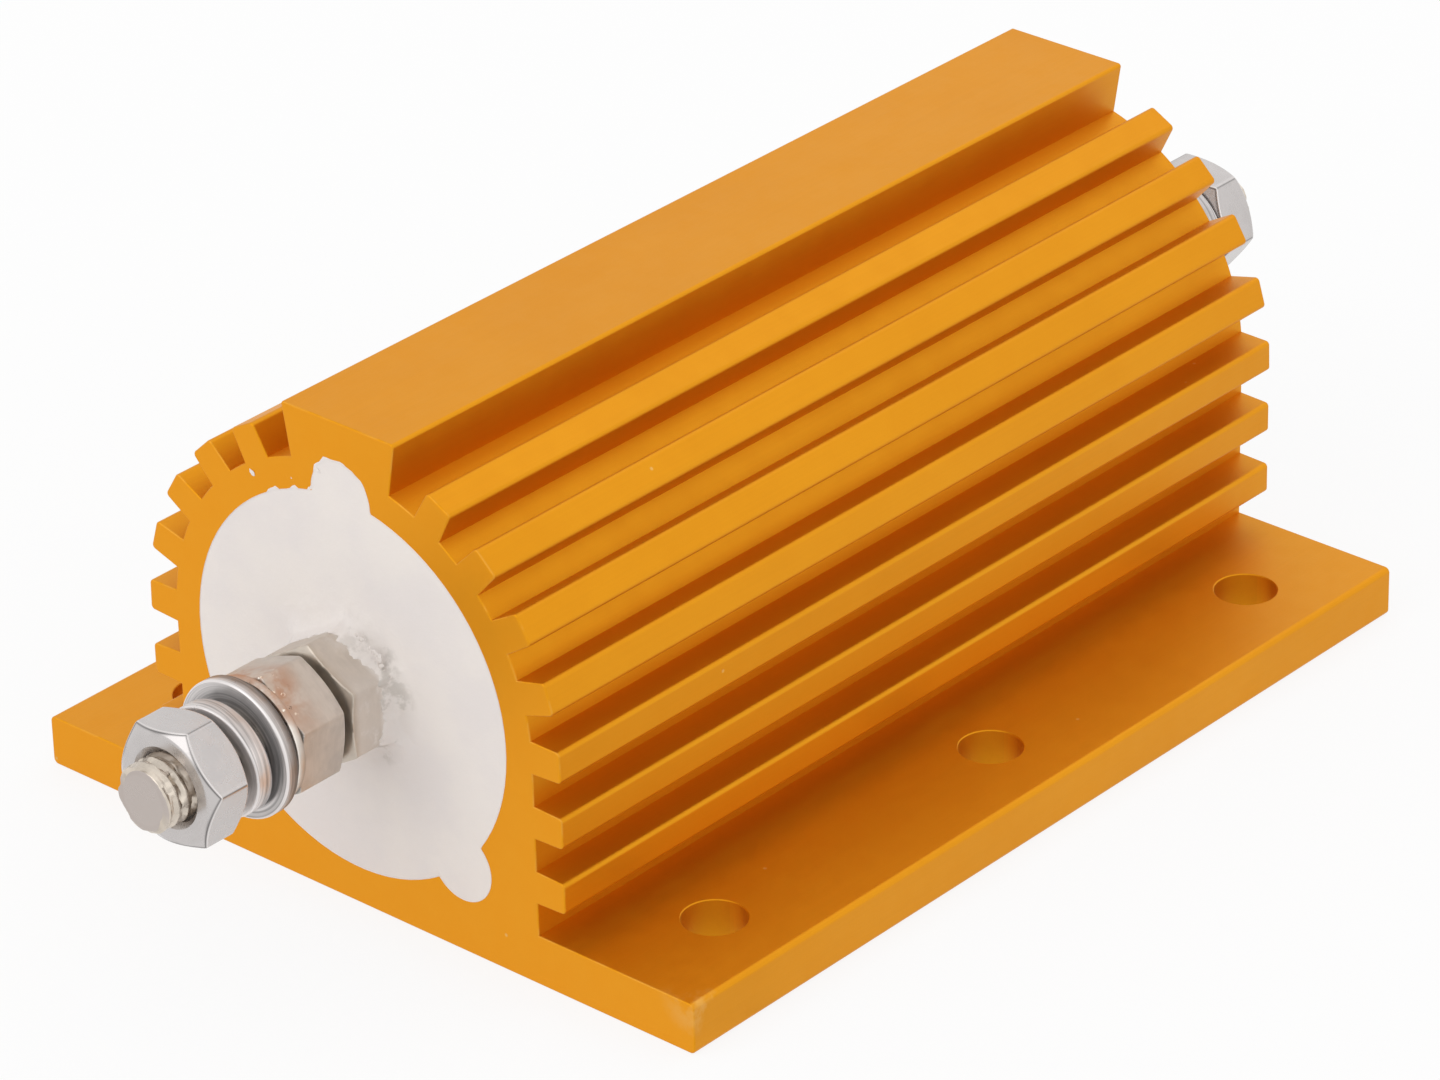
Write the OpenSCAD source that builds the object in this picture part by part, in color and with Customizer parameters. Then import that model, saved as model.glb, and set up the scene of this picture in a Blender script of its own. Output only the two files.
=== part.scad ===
// Wirewound power resistor in a finned aluminium housing, for screwing down on a heat sink.
// A ceramic rod carries the resistance wire. A steel cap closes each end of the rod and holds
// a threaded terminal. White cement fills the housing's bore around the element.
// Millimetres. The housing lies along X and stands on Z = 0, with the origin at the middle of
// its underside.

/* [Housing] */
// Length of the extruded housing
body_l = 92; // [76:1:150]
// Width across both mounting flanges
flange_w = 72.5; // [70:0.5:90]
// Thickness of the mounting flanges
flange_t = 4.6; // [3:0.1:6]
// Rounding of the flanges' long edges
flange_edge_r = 0.5; // [0.2:0.1:1.2]
// Height of the bore's axis above the underside
axis_h = 20.5; // [20.4:0.1:24]
// Diameter of the bore
bore_d = 34; // [30:0.2:35]
// Thickness of the wall between the bore and the fins' roots
wall_t = 2.8; // [2.2:0.1:4]

/* [Keying grooves] */
// Diameter of the round grooves in the bore that key the cement
key_d = 6.4; // [4:0.2:7]
// Angle of the two lower grooves below the horizontal
key_low_a = 47; // [44:1:50]

/* [Fins and land] */
// Length of a fin from root to tip
fin_depth = 3; // [1.5:0.1:5]
// Thickness of a fin at its root
fin_root_t = 3; // [2.6:0.1:3.4]
// Thickness of a fin at its tip
fin_tip_t = 2.8; // [2:0.1:3.2]
// Rounding of a fin's two long edges
fin_edge_r = 0.4; // [0.1:0.1:0.8]
// Spacing of the fins, measured at their tips
fin_pitch = 6; // [5.4:0.1:8]
// Angle above the horizontal of the lowest fin on the round wall
fin_start_a = 1.4; // [0:0.1:6]
// Width of the flat land along the top
land_w = 12.4; // [10:0.1:14]
// Width of the land where it meets the round wall
land_root_w = 10.8; // [8:0.1:12]
// Height of the land above the round wall
land_h = 4; // [2:0.1:6]
// Rounding of the land's two long edges
land_edge_r = 0.3; // [0.1:0.1:0.8]

/* [Mounting holes] */
// Diameter of the mounting holes
hole_d = 5.5; // [4:0.1:6.4]
// Distance between neighbouring holes along a flange
hole_pitch = 35; // [30:0.5:36]
// Distance between the two rows of holes
hole_span = 57.6; // [56.6:0.1:60]
// Chamfer on both rims of a hole
hole_chamfer = 0.3; // [0.1:0.1:0.6]

/* [Resistance element] */
// Diameter of the ceramic rod
core_d = 19; // [16:0.5:22]
// Diameter of the hole through the ceramic rod
core_bore_d = 7; // [4:0.5:9]
// Diameter of the resistance wire
wire_d = 1.2; // [0.6:0.1:1.8]
// Longest pitch allowed between two turns of the wire
wire_pitch = 4; // [3.5:0.1:6]
// Sheet thickness of the end caps
cap_t = 1.2; // [0.8:0.1:1.6]
// Length of rod that a cap covers
cap_grip = 6; // [4:0.5:9]
// Outer diameter of the neck that carries the innermost nut
neck_d = 9; // [8:0.1:9.6]
// Depth of cement between an end cap and the housing's end
end_cover = 6; // [4:0.5:9]
// Diameter of the flange that holds a terminal inside its cap
head_d = 12; // [9:0.5:14]
// Thickness of that flange
head_t = 2; // [1:0.1:3]

/* [Cement] */
// Width of the raised cement round each innermost nut
collar_cement_w = 1.6; // [0.8:0.1:3]
// Height of that raised cement
collar_cement_h = 0.9; // [0.6:0.1:2]

/* [Terminals] */
// Diameter of the threaded terminals
stud_d = 6; // [5:0.1:6.2]
// Length of a terminal beyond the housing's end
stud_reach = 23.4; // [21.5:0.1:40]
// Chamfer at a terminal's tip
stud_chamfer = 0.25; // [0.2:0.05:0.8]
// Distance across a nut's flats
nut_af = 10; // [9.8:0.1:12]
// Rounding diameter of a nut's six corners
nut_corner_d = 11.4; // [10.8:0.05:11.5]
// Thickness of a nut
nut_t = 4.6; // [3.6:0.1:5]
// Thickness of the outer nut
outer_nut_t = 4.2; // [3.6:0.1:5]
// Diameter of a nut's flat bearing face
nut_face_d = 9.5; // [9:0.1:9.7]
// Angle of the chamfer on a nut's corners, from its flat face
nut_chamfer_a = 35; // [25:1:40]
// Width of the countersink at each mouth of a nut's thread
nut_sink = 0.3; // [0.1:0.05:0.5]
// Height of the innermost nut's seat above the housing's end
seat_h = 0.3; // [0.1:0.1:0.5]
// Open thread between the innermost nut and the backing nut
nut_gap = 0.9; // [0.4:0.1:1.4]
// Diameter of the collar turned on the backing nut
nut_collar_d = 10.9; // [10.3:0.1:11.3]
// Thickness of that collar
nut_collar_t = 1.1; // [0.4:0.1:1.8]
// Play between that collar and the flat washer
washer_play = 0.6; // [0:0.1:0.9]
// Outer diameter of the flat washer
washer_d = 12; // [11:0.1:16]
// Thickness of the flat washer
washer_t = 1.2; // [0.8:0.1:1.8]
// Radial clearance of both washers on the terminal
washer_clear = 0.2; // [0.05:0.05:0.4]
// Outer diameter of the split spring washer
spring_d = 10; // [9:0.1:12]
// Thickness of the split spring washer
spring_t = 1.7; // [1:0.1:1.9]
// How far one end of the spring washer stands above the other
spring_rise = 1.7; // [0.4:0.1:2]
// Width of the split, as an angle
spring_split_a = 14; // [6:1:30]

/* [Hidden] */
$fn = 96;

// A cut runs this far past the face it opens on
cut = 1;
// A fin or the land reaches this far into the wall that carries it
root_bite = 0.6;
// The round edges of a rib stand this far proud of its flats, so that the two cross cleanly
edge_proud = 0.002;
// Open height kept between the lowest fin's root and the flange
flange_clear = 1;
// Half the angle of one side of a hexagon nut
hex_half_a = 30;
// Clearance between the wire and the cement around it
wire_clear = 0.05;

// Housing, worked out from the bore outwards
bore_r = bore_d / 2;
wall_r = bore_r + wall_t;
fin_r = wall_r + fin_depth;
land_top = wall_r + land_h;
fin_step_a = fin_pitch / fin_r * 180 / PI;
// The round wall has fins up to where the land's side needs an open groove
land_side_a = 90 - asin(land_w / 2 / wall_r);
round_fins = floor((land_side_a - fin_start_a - fin_step_a / 2) / fin_step_a) + 1;
// Below them the fins go down the straight sides at the same spacing, clear of the flange
straight_top = axis_h + fin_r * sin(fin_start_a);
straight_fins = floor((straight_top - flange_t - flange_clear - fin_root_t / 2) / fin_pitch);
key_angles = [90, -key_low_a, 180 + key_low_a];
hole_sites = [for (i = [-1, 0, 1], side = [-1, 1]) [i * hole_pitch, side * hole_span / 2]];

// Element, centred along the bore
core_r = core_d / 2;
core_l = body_l - 2 * (end_cover + cap_t);
cap_r = core_r + cap_t;
// The wire is swept in straight steps, so its path lies just outside the rod
wire_steps = 18;
wire_sides = 6;
wire_path_r = (core_r + wire_d / 2) / cos(180 / wire_steps);
wire_space_r = wire_path_r + wire_d / 2 + wire_clear;
wire_span = core_l - 2 * cap_grip - wire_d;
wire_turns = floor(wire_span / wire_pitch);

// Stations along a terminal, outwards from the housing's end
cap_face = -end_cover;
inner_nut_seat = seat_h;
backing_nut_seat = inner_nut_seat + nut_t + nut_gap;
washer_seat = backing_nut_seat + nut_t + nut_collar_t + washer_play;
spring_seat = washer_seat + washer_t;
outer_nut_seat = spring_seat + spring_t + spring_rise;
washer_hole_r = stud_d / 2 + washer_clear;
spring_steps = 40;
// Turn of each nut on its terminal, and of the split in the spring washer
inner_nut_a = 0;
backing_nut_a = -8;
outer_nut_a = -21.8;
spring_split_at = 128;

gold = [0.86, 0.56, 0.12];
cement_white = [0.89, 0.86, 0.84];
ceramic = [0.93, 0.91, 0.85];
nickel = [0.74, 0.72, 0.69];
steel = [0.66, 0.66, 0.67];
wire_grey = [0.5, 0.47, 0.44];

// ---- Placing ----

// Turns a shape drawn along +Z into one that points out of the front end (-X)
module on_front() {
    translate([-body_l / 2, 0, axis_h]) rotate([0, -90, 0]) children();
}

// The rear end is the front end turned half round
module on_rear() {
    rotate([0, 0, 180]) on_front() children();
}

module on_both_ends() {
    on_front() children();
    on_rear() children();
}

// Extrudes a section drawn in (Y, Z) along the housing
module along_x(length) {
    rotate([90, 0, 90]) linear_extrude(length, center = true) children();
}

// ---- Housing ----

// A bar of the given width and thickness that stands on Z = 0, with round long edges
module rounded_bar(w, t, r) {
    translate([-w / 2 + r, 0]) square([w - 2 * r, t]);
    translate([-w / 2, r]) square([w, t - 2 * r]);
    for (y = [-1, 1], z = [r, t - r])
        translate([y * (w / 2 - r), z]) circle(r);
}

// A rib that stands out along +X from one thickness at its root to another at its tip, with
// both edges of the tip rounded
module rib_section(root_x, root_t, tip_x, tip_t, edge_r) {
    lean = (root_t - tip_t) / 2 / (tip_x - root_x);
    a = atan(lean);
    edge_x = tip_x - edge_r;
    edge_y = root_t / 2 - (edge_x - root_x) * lean - edge_r / cos(a);
    inner_x = root_x - root_bite;
    flat_r = edge_r - edge_proud;
    half = [
        [edge_x + flat_r, edge_y],
        [edge_x + flat_r * sin(a), edge_y + flat_r * cos(a)],
        [inner_x, edge_y + flat_r / cos(a) + (edge_x - inner_x) * lean]
    ];
    polygon([for (p = half) p, for (i = [2, 1, 0]) [half[i][0], -half[i][1]]]);
    for (side = [-1, 1])
        translate([edge_x, side * edge_y]) circle(edge_r);
}

module fin_section() {
    rib_section(wall_r, fin_root_t, fin_r, fin_tip_t, fin_edge_r);
}

module fins_one_side() {
    for (i = [0 : round_fins - 1])
        translate([0, axis_h]) rotate(fin_start_a + i * fin_step_a) fin_section();
    for (i = [1 : straight_fins])
        translate([0, straight_top - i * fin_pitch]) fin_section();
}

// Flat land for the rating, a little wider at its top than at its root
module land_section() {
    root_x = sqrt(wall_r * wall_r - land_root_w * land_root_w / 4);
    rotate(90) rib_section(root_x, land_root_w, land_top, land_w, land_edge_r);
}

// Round bore with its keying grooves, which the cement fills to the same outline
module bore_section() {
    translate([0, axis_h]) {
        circle(bore_r);
        for (a = key_angles)
            rotate(a) translate([bore_r, 0]) circle(key_d / 2);
    }
}

module housing_section() {
    difference() {
        union() {
            rounded_bar(flange_w, flange_t, flange_edge_r);
            translate([-wall_r, flange_edge_r]) square([2 * wall_r, axis_h - flange_edge_r]);
            translate([0, axis_h]) circle(wall_r);
            translate([0, axis_h]) land_section();
            fins_one_side();
            mirror([1, 0]) fins_one_side();
        }
        bore_section();
    }
}

module mounting_hole() {
    hole_r = hole_d / 2;
    translate([0, 0, -cut]) cylinder(flange_t + 2 * cut, hole_r, hole_r);
    translate([0, 0, flange_t - hole_chamfer])
        cylinder(hole_chamfer + cut, hole_r, hole_r + hole_chamfer + cut);
    translate([0, 0, -cut])
        cylinder(hole_chamfer + cut, hole_r + hole_chamfer + cut, hole_r);
}

module housing() {
    color(gold) difference() {
        along_x(body_l) housing_section();
        for (site = hole_sites) translate([site[0], site[1], 0]) mounting_hole();
    }
}

// ---- Resistance element ----

module ceramic_core() {
    color(ceramic) difference() {
        translate([0, 0, axis_h]) rotate([0, 90, 0]) difference() {
            cylinder(core_l, core_r, core_r, center = true);
            cylinder(core_l + 2 * cut, core_bore_d / 2, core_bore_d / 2, center = true);
        }
        // Each end is counterbored for the terminal's flange
        on_both_ends() translate([0, 0, cap_face - cap_t - head_t])
            cylinder(head_t + cut, head_d / 2, head_d / 2);
    }
}

// Ring number i of the wire: a small polygon across its helical path
function wire_ring(i) =
    let (a = i * 360 / wire_steps,
         x = wire_span * (i / (wire_turns * wire_steps) - 0.5))
    [for (k = [0 : wire_sides - 1])
        let (b = k * 360 / wire_sides,
             r = wire_path_r + wire_d / 2 * cos(b))
        [x + wire_d / 2 * sin(b), r * sin(a), r * cos(a)]];

// Faces that close a sweep of n rings with m points each
function sweep_faces(n, m) = concat(
    [[for (k = [0 : m - 1]) k]],
    [[for (k = [m - 1 : -1 : 0]) (n - 1) * m + k]],
    [for (i = [0 : n - 2], k = [0 : m - 1])
        let (next = (k + 1) % m)
        [i * m + k, (i + 1) * m + k, (i + 1) * m + next, i * m + next]]
);

module resistance_wire() {
    rings = wire_turns * wire_steps + 1;
    color(wire_grey) translate([0, 0, axis_h]) polyhedron(
        points = [for (i = [0 : rings - 1]) each wire_ring(i)],
        faces = sweep_faces(rings, wire_sides),
        convexity = 10
    );
}

// Pressed steel cap with a neck that reaches out to the innermost nut
module end_cap() {
    color(steel) translate([0, 0, cap_face]) difference() {
        union() {
            translate([0, 0, -cap_t - cap_grip]) cylinder(cap_t + cap_grip, cap_r, cap_r);
            cylinder(end_cover + inner_nut_seat, neck_d / 2, neck_d / 2);
        }
        translate([0, 0, -cap_t - cap_grip - cut]) cylinder(cap_grip + cut, core_r, core_r);
        translate([0, 0, -cap_t - cut])
            cylinder(cap_t + end_cover + inner_nut_seat + 2 * cut, stud_d / 2, stud_d / 2);
    }
}

// ---- Cement ----

// Low cone of cement drawn up round the innermost nut
module cement_collar() {
    foot_r = nut_corner_d / 2 + collar_cement_w;
    cylinder(collar_cement_h, foot_r, foot_r - collar_cement_w / 2);
}

module cement_fill() {
    element_r = max(cap_r, wire_space_r);
    color(cement_white) difference() {
        union() {
            along_x(body_l) bore_section();
            on_both_ends() cement_collar();
        }
        translate([0, 0, axis_h]) rotate([0, 90, 0]) {
            cylinder(core_l - 2 * cap_grip, wire_space_r, wire_space_r, center = true);
            cylinder(core_l, core_r, core_r, center = true);
        }
        on_both_ends() {
            translate([0, 0, cap_face - cap_t - cap_grip])
                cylinder(cap_t + cap_grip, cap_r, cap_r);
            translate([0, 0, cap_face])
                cylinder(end_cover + inner_nut_seat, neck_d / 2, neck_d / 2);
            translate([0, 0, inner_nut_seat]) rotate(inner_nut_a) nut_body();
            translate([0, 0, inner_nut_seat]) cylinder(nut_t, stud_d / 2, stud_d / 2);
        }
    }
}

// ---- Terminals ----

module terminal_stud() {
    stud_r = stud_d / 2;
    inside = end_cover + cap_t;
    color(steel) translate([0, 0, -inside]) {
        translate([0, 0, -head_t]) cylinder(head_t, head_d / 2, head_d / 2);
        cylinder(inside + stud_reach - stud_chamfer, stud_r, stud_r);
        translate([0, 0, inside + stud_reach - stud_chamfer])
            cylinder(stud_chamfer, stud_r, stud_r - stud_chamfer);
    }
}

// Outline of a chamfered hexagon nut of the given thickness, without its thread
module nut_body(length = nut_t) {
    face_r = nut_face_d / 2;
    corner_r = nut_corner_d / 2;
    hex_r = nut_af / 2 / cos(hex_half_a);
    drop = (corner_r - face_r) * tan(nut_chamfer_a);
    intersection() {
        cylinder(length, hex_r, hex_r, $fn = 6);
        rotate_extrude() polygon([
            [0, 0],
            [face_r, 0],
            [corner_r, drop],
            [corner_r, length - drop],
            [face_r, length],
            [0, length]
        ]);
    }
}

// Threaded hole of the given length, countersunk at both mouths
module nut_thread(length) {
    r = stud_d / 2;
    translate([0, 0, -cut]) cylinder(length + 2 * cut, r, r);
    translate([0, 0, -cut]) cylinder(nut_sink + cut, r + nut_sink + cut, r);
    translate([0, 0, length - nut_sink]) cylinder(nut_sink + cut, r, r + nut_sink + cut);
}

module hex_nut(length = nut_t) {
    difference() {
        nut_body(length);
        nut_thread(length);
    }
}

module inner_nut() {
    color(nickel) translate([0, 0, inner_nut_seat]) rotate(inner_nut_a) hex_nut();
}

// Nut with a round collar turned on its outer face, where a lug bears
module backing_nut() {
    collar_r = nut_collar_d / 2;
    total_t = nut_t + nut_collar_t;
    collar_foot = nut_t - (nut_corner_d - nut_face_d) / 2 * tan(nut_chamfer_a);
    color(nickel) translate([0, 0, backing_nut_seat]) rotate(backing_nut_a) difference() {
        union() {
            nut_body();
            translate([0, 0, collar_foot])
                cylinder(total_t - nut_sink - collar_foot, collar_r, collar_r);
            translate([0, 0, total_t - nut_sink])
                cylinder(nut_sink, collar_r, collar_r - nut_sink);
        }
        nut_thread(total_t);
    }
}

module outer_nut() {
    color(nickel) translate([0, 0, outer_nut_seat]) rotate(outer_nut_a) hex_nut(outer_nut_t);
}

module flat_washer() {
    color(nickel) translate([0, 0, washer_seat]) difference() {
        cylinder(washer_t, washer_d / 2, washer_d / 2);
        translate([0, 0, -cut]) cylinder(washer_t + 2 * cut, washer_hole_r, washer_hole_r);
    }
}

// Section i of the split spring washer, which climbs from one side of the split to the other
function spring_ring(i) =
    let (a = spring_split_at + spring_split_a / 2 + i * (360 - spring_split_a) / spring_steps,
         z = spring_rise * i / spring_steps)
    [for (p = [[washer_hole_r, z], [spring_d / 2, z],
               [spring_d / 2, z + spring_t], [washer_hole_r, z + spring_t]])
        [p[0] * cos(a), p[0] * sin(a), p[1]]];

module spring_washer() {
    color(steel) translate([0, 0, spring_seat]) polyhedron(
        points = [for (i = [0 : spring_steps]) each spring_ring(i)],
        faces = sweep_faces(spring_steps + 1, 4),
        convexity = 4
    );
}

housing();
cement_fill();
ceramic_core();
resistance_wire();
on_front() end_cap();  // end_cap_front
on_rear() end_cap();  // end_cap_rear
on_front() terminal_stud();  // terminal_stud_front
on_rear() terminal_stud();  // terminal_stud_rear
on_front() inner_nut();  // inner_nut_front
on_rear() inner_nut();  // inner_nut_rear
on_front() backing_nut();  // backing_nut_front
on_rear() backing_nut();  // backing_nut_rear
on_front() flat_washer();  // flat_washer_front
on_rear() flat_washer();  // flat_washer_rear
on_front() spring_washer();  // spring_washer_front
on_rear() spring_washer();  // spring_washer_rear
on_front() outer_nut();  // outer_nut_front
on_rear() outer_nut();  // outer_nut_rear
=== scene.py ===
"""Finish of an aluminium housed power resistor: housing, cement, terminals and their hardware."""

import math

import bmesh
import bpy
import numpy as np
from bpy.props import FloatProperty, FloatVectorProperty, IntProperty, PointerProperty
from bpy.types import Operator, Panel, PropertyGroup
from mathutils import Matrix, Vector, noise


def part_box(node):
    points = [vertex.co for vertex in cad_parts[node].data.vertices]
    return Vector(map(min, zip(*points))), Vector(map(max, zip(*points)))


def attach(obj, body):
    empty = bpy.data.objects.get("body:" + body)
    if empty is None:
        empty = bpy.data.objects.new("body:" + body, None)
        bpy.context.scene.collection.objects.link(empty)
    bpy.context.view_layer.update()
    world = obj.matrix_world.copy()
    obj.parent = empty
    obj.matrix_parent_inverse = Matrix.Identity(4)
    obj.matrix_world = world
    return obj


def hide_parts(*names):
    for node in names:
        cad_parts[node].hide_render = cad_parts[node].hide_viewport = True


bl_info = {
    "name": "Housed Power Resistor",
    "version": (1, 0, 0),
    "blender": (4, 5, 0),
    "location": "3D View > Sidebar > Resistor",
    "description": "Builds the finished pieces of a housed power resistor on its CAD frame",
    "category": "Add Mesh",
}

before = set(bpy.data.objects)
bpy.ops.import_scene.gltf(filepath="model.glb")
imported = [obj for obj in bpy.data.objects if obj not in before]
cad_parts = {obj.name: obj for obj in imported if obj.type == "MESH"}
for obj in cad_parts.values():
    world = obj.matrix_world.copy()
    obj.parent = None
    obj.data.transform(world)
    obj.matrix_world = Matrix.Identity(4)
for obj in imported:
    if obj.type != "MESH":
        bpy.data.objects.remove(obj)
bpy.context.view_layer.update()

ENDS = ("front", "rear")
BODY = "root"
TURN = 2 * math.pi
HOUSING_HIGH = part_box("housing")[1]
HALF_LENGTH = HOUSING_HIGH[0]
AXIS_HEIGHT = sum(corner[2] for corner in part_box("flat_washer_front")) / 2
SCUFFED_CORNER = (-HALF_LENGTH, -0.0362, 0.0046)
LOOKED_AT = (-0.000356, 0.000610, 0.014361)
NEAR = 0.00001  # a point this near to a face or corner lies on it
THREAD_DEPTH = 0.6134  # of the pitch
SPRING_SPLIT = 14 / 360  # of a turn
SPRING_SECTION = 24  # points of the spring washer's section: six on each of four corners
LINE_WIDTH = 0.00007  # of the bright and dark lines on a nut's chamfers
DENSE = 0.34  # share of the cement face, beside the nut, with its closest rings
MARGIN = 0.00025  # band inside the edge of a nut's flat face, and of a washer
STRIP = 0.004  # width of the flanges' outermost strip, clear of the fins
PAST = 0.001  # how far the hole cutters stand out of the flanges
SHANK = -0.001  # where the studs' thread starts, from the housing's end
FLANGE = 0.002  # thickness of the studs' inner flange
FLOOR_DROP = 0.00002
HOLE_COLUMNS, STUD_COLUMNS, WASHER_COLUMNS = 48, 72, 128
NUT_COLUMNS = {"inner": 26, "backing": 26, "outer": 46}  # on each side of the hexagon
CRUMB_SIZES = ("radius", "start", "sweep", "spread", "count")


# ---- Reading the frame ----


def mesh_points(mesh):
    """The vertices of a mesh as an array."""
    points = np.empty(len(mesh.vertices) * 3)
    mesh.vertices.foreach_get("co", points)
    return points.reshape(-1, 3)


class Seat:
    """A CAD node on a terminal, in the terminal's own frame: Z outwards from the housing."""

    def __init__(self, node, end):
        x, y, z = mesh_points(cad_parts[node].data).T
        side, out = (y, -x) if end == "front" else (-y, x)
        self.points = np.stack([z - AXIS_HEIGHT, side, out - HALF_LENGTH], axis=1)
        self.radii = np.hypot(*self.points[:, :2].T)
        self.angles = np.arctan2(side, z - AXIS_HEIGHT)
        self.low, self.high = self.points[:, 2].min(), self.points[:, 2].max()
        self.radius = self.radii.max()

    def turn(self):
        """Angle of a hexagon nut's first corner."""
        corners = self.angles[self.radii > self.radius - 2 * NEAR]
        return np.angle(np.exp(6j * corners).mean()) / 6


def on_terminal(points, end):
    """The way back from a terminal's own frame to the part's frame."""
    up, side, out = points[:, 0], points[:, 1], points[:, 2]
    if end == "front":
        return np.stack([-HALF_LENGTH - out, side, AXIS_HEIGHT + up], axis=1)
    return np.stack([HALF_LENGTH + out, -side, AXIS_HEIGHT + up], axis=1)


def box_radius(node):
    """Half the width of a CAD node across the housing."""
    low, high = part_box(node)
    return (high[1] - low[1]) / 2


# ---- Sizes and colours that a user may change ----


def setting(kind, **fixed):
    """A maker of one kind of property, from its name, description and default."""

    def make(name, description, default, **more):
        return kind(name=name, description=description, default=default, **fixed, **more)

    return make


number = setting(FloatProperty)
whole = setting(IntProperty)
tilt = setting(FloatProperty, subtype="ANGLE")
length = setting(FloatProperty, min=0.0, precision=5, subtype="DISTANCE", unit="LENGTH")
share = setting(FloatProperty, min=0.0, max=1.0, subtype="FACTOR")
shade = setting(FloatVectorProperty, min=0.0, max=1.0, size=3, subtype="COLOR")


class HousingFinish(PropertyGroup):
    """Edges and anodised finish of the extruded housing."""

    end_round: length("End rounding", "Rounding of the edges at both sawn ends", 0.00014)
    hole_d: length("Hole diameter", "Diameter of the mounting holes", 0.0055)
    hole_pitch: length("Hole pitch", "Distance between holes along a flange", 0.035)
    hole_span: length("Hole span", "Distance between the two rows of holes", 0.0576)
    hole_chamfer: length("Hole chamfer", "Chamfer on both rims of a hole", 0.00008)
    gold: shade("Anodised gold", "Colour of the dyed anodised surface", (0.745, 0.308, 0.008))
    worn: shade("Rubbed edge", "Colour where the dye is rubbed thin", (0.78, 0.44, 0.11))
    satin: share("Roughness", "Roughness of the satin surface", 0.48)


class CementFinish(PropertyGroup):
    """Relief and colour of the cement that fills the bore."""

    columns: whole("Columns", "Columns of the cement's mesh", 360, min=90, max=720)
    waviness: length("Waviness", "Height of the slow waves on the open face", 0.00007)
    grit: length("Grit", "Height of the fine unevenness", 0.00002)
    fillet: length("Fillet", "Height of the cement drawn up round the inner nut", 0.0009)
    fillet_w: length("Fillet width", "Width of that fillet", 0.0010)
    film: length("Film", "How much further a thin film climbs the inner nut", 0.0014)
    film_w: length("Film width", "Thickness of that film at its foot", 0.00024)
    lip: length("Lip", "How far smeared cement may lap over the bore's edge", 0.0005)
    smear_at: number("Smear angle", "Middle of the smeared arc, from the top", 0.33)
    smear_arc: number("Smear arc", "Half width of the smeared arc", 0.42)
    white: shade("Cement white", "Colour of the dry cement", (0.80, 0.745, 0.705))
    # Grey of metal dust, and of painted shadow round the inner nut and painted shade in the
    # cement's pits.
    soiled: shade("Soiled cement", "Colour of metal dust rubbed into it", (0.50, 0.46, 0.42))


class TerminalFinish(PropertyGroup):
    """Sizes of the terminals' threads and hardware, and their plating."""

    stud_d: length("Stud diameter", "Outer diameter of the thread", 0.006)
    pitch: length("Thread pitch", "Pitch of the thread", 0.001)
    tip_chamfer: length("Tip chamfer", "Chamfer at the terminal's tip", 0.00025)
    thread_play: length("Thread play", "Radial play between a nut and the thread", 0.00006)
    nut_af: length("Across flats", "Distance across a nut's flats", 0.010)
    nut_face_d: length("Nut face", "Diameter of the outer nut's flat face", 0.0095)
    nut_sink: length("Countersink", "Depth of the countersink at a nut's mouth", 0.00055)
    nut_round: length("Nut rounding", "Softening of a nut's corners and chamfers", 0.00007)
    nut_chamfer: tilt("Nut chamfer", "Slope of the outer nut's chamfer", math.radians(35))
    collar_d: length("Collar diameter", "Diameter of the backing nut's collar", 0.0109)
    collar_t: length("Collar thickness", "Thickness of that collar", 0.00078)
    inner_face_d: length("Inner nut face", "Flat face of the inner and backing nuts", 0.0098)
    inner_chamfer: tilt("Inner chamfer", "Slope of the inner nuts' chamfer", math.radians(22))
    washer_round: length("Washer rounding", "Rounding of a washer's edges", 0.00022)
    washer_hole_d: length("Washer hole", "Hole of both washers", 0.0064)
    nickel: shade("Nickel", "Dull nickel of the two inner nuts", (0.63, 0.585, 0.535))
    bright: shade("Bright plate", "Bright plate of the outer nut and washers", (0.57, 0.54, 0.53))
    warm: shade("Stud metal", "Metal of the threaded terminals", (0.71, 0.63, 0.54))
    stain: shade("Stain", "Copper tarnish on the backing nut", (0.50, 0.31, 0.215))


class ElementFinish(PropertyGroup):
    """Wire, rod and caps inside the housing."""

    wire_d: length("Wire diameter", "Diameter of the resistance wire", 0.0012)
    turns: whole("Turns", "Turns of wire on the rod", 16, min=4, max=60)
    wire: shade("Wire", "Colour of the resistance wire", (0.21, 0.18, 0.15))
    ceramic: shade("Ceramic", "Colour of the fired rod", (0.84, 0.80, 0.70))
    cap: shade("Cap steel", "Colour of the pressed caps", (0.40, 0.40, 0.41))


class StageSetup(PropertyGroup):
    """Camera, lamps and floor."""

    azimuth: number("Azimuth", "Camera azimuth, degrees", -48.189)
    elevation: number("Elevation", "Camera elevation, degrees", 28.406)
    roll: number("Roll", "Camera roll, degrees", -1.386)
    distance: length("Distance", "Camera distance from the point it looks at", 0.58013)
    lens: number("Lens", "Focal length, millimetres", 170.13)
    floor_size: length("Floor size", "Side of the square floor", 6.0)
    key: number("Key lamp", "Power of the key lamp, watts", 1.1)
    side: number("Side lamp", "Power of the side lamp, watts", 2.6)
    front: number("Front lamp", "Power of the front lamp, watts", 2.0)
    sky: number("Sky", "Strength of the world's light", 0.90)


SETTINGS = {
    "resistor_housing": HousingFinish,
    "resistor_cement": CementFinish,
    "resistor_terminals": TerminalFinish,
    "resistor_element": ElementFinish,
    "resistor_stage": StageSetup,
}


# ---- Node graphs ----


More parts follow.
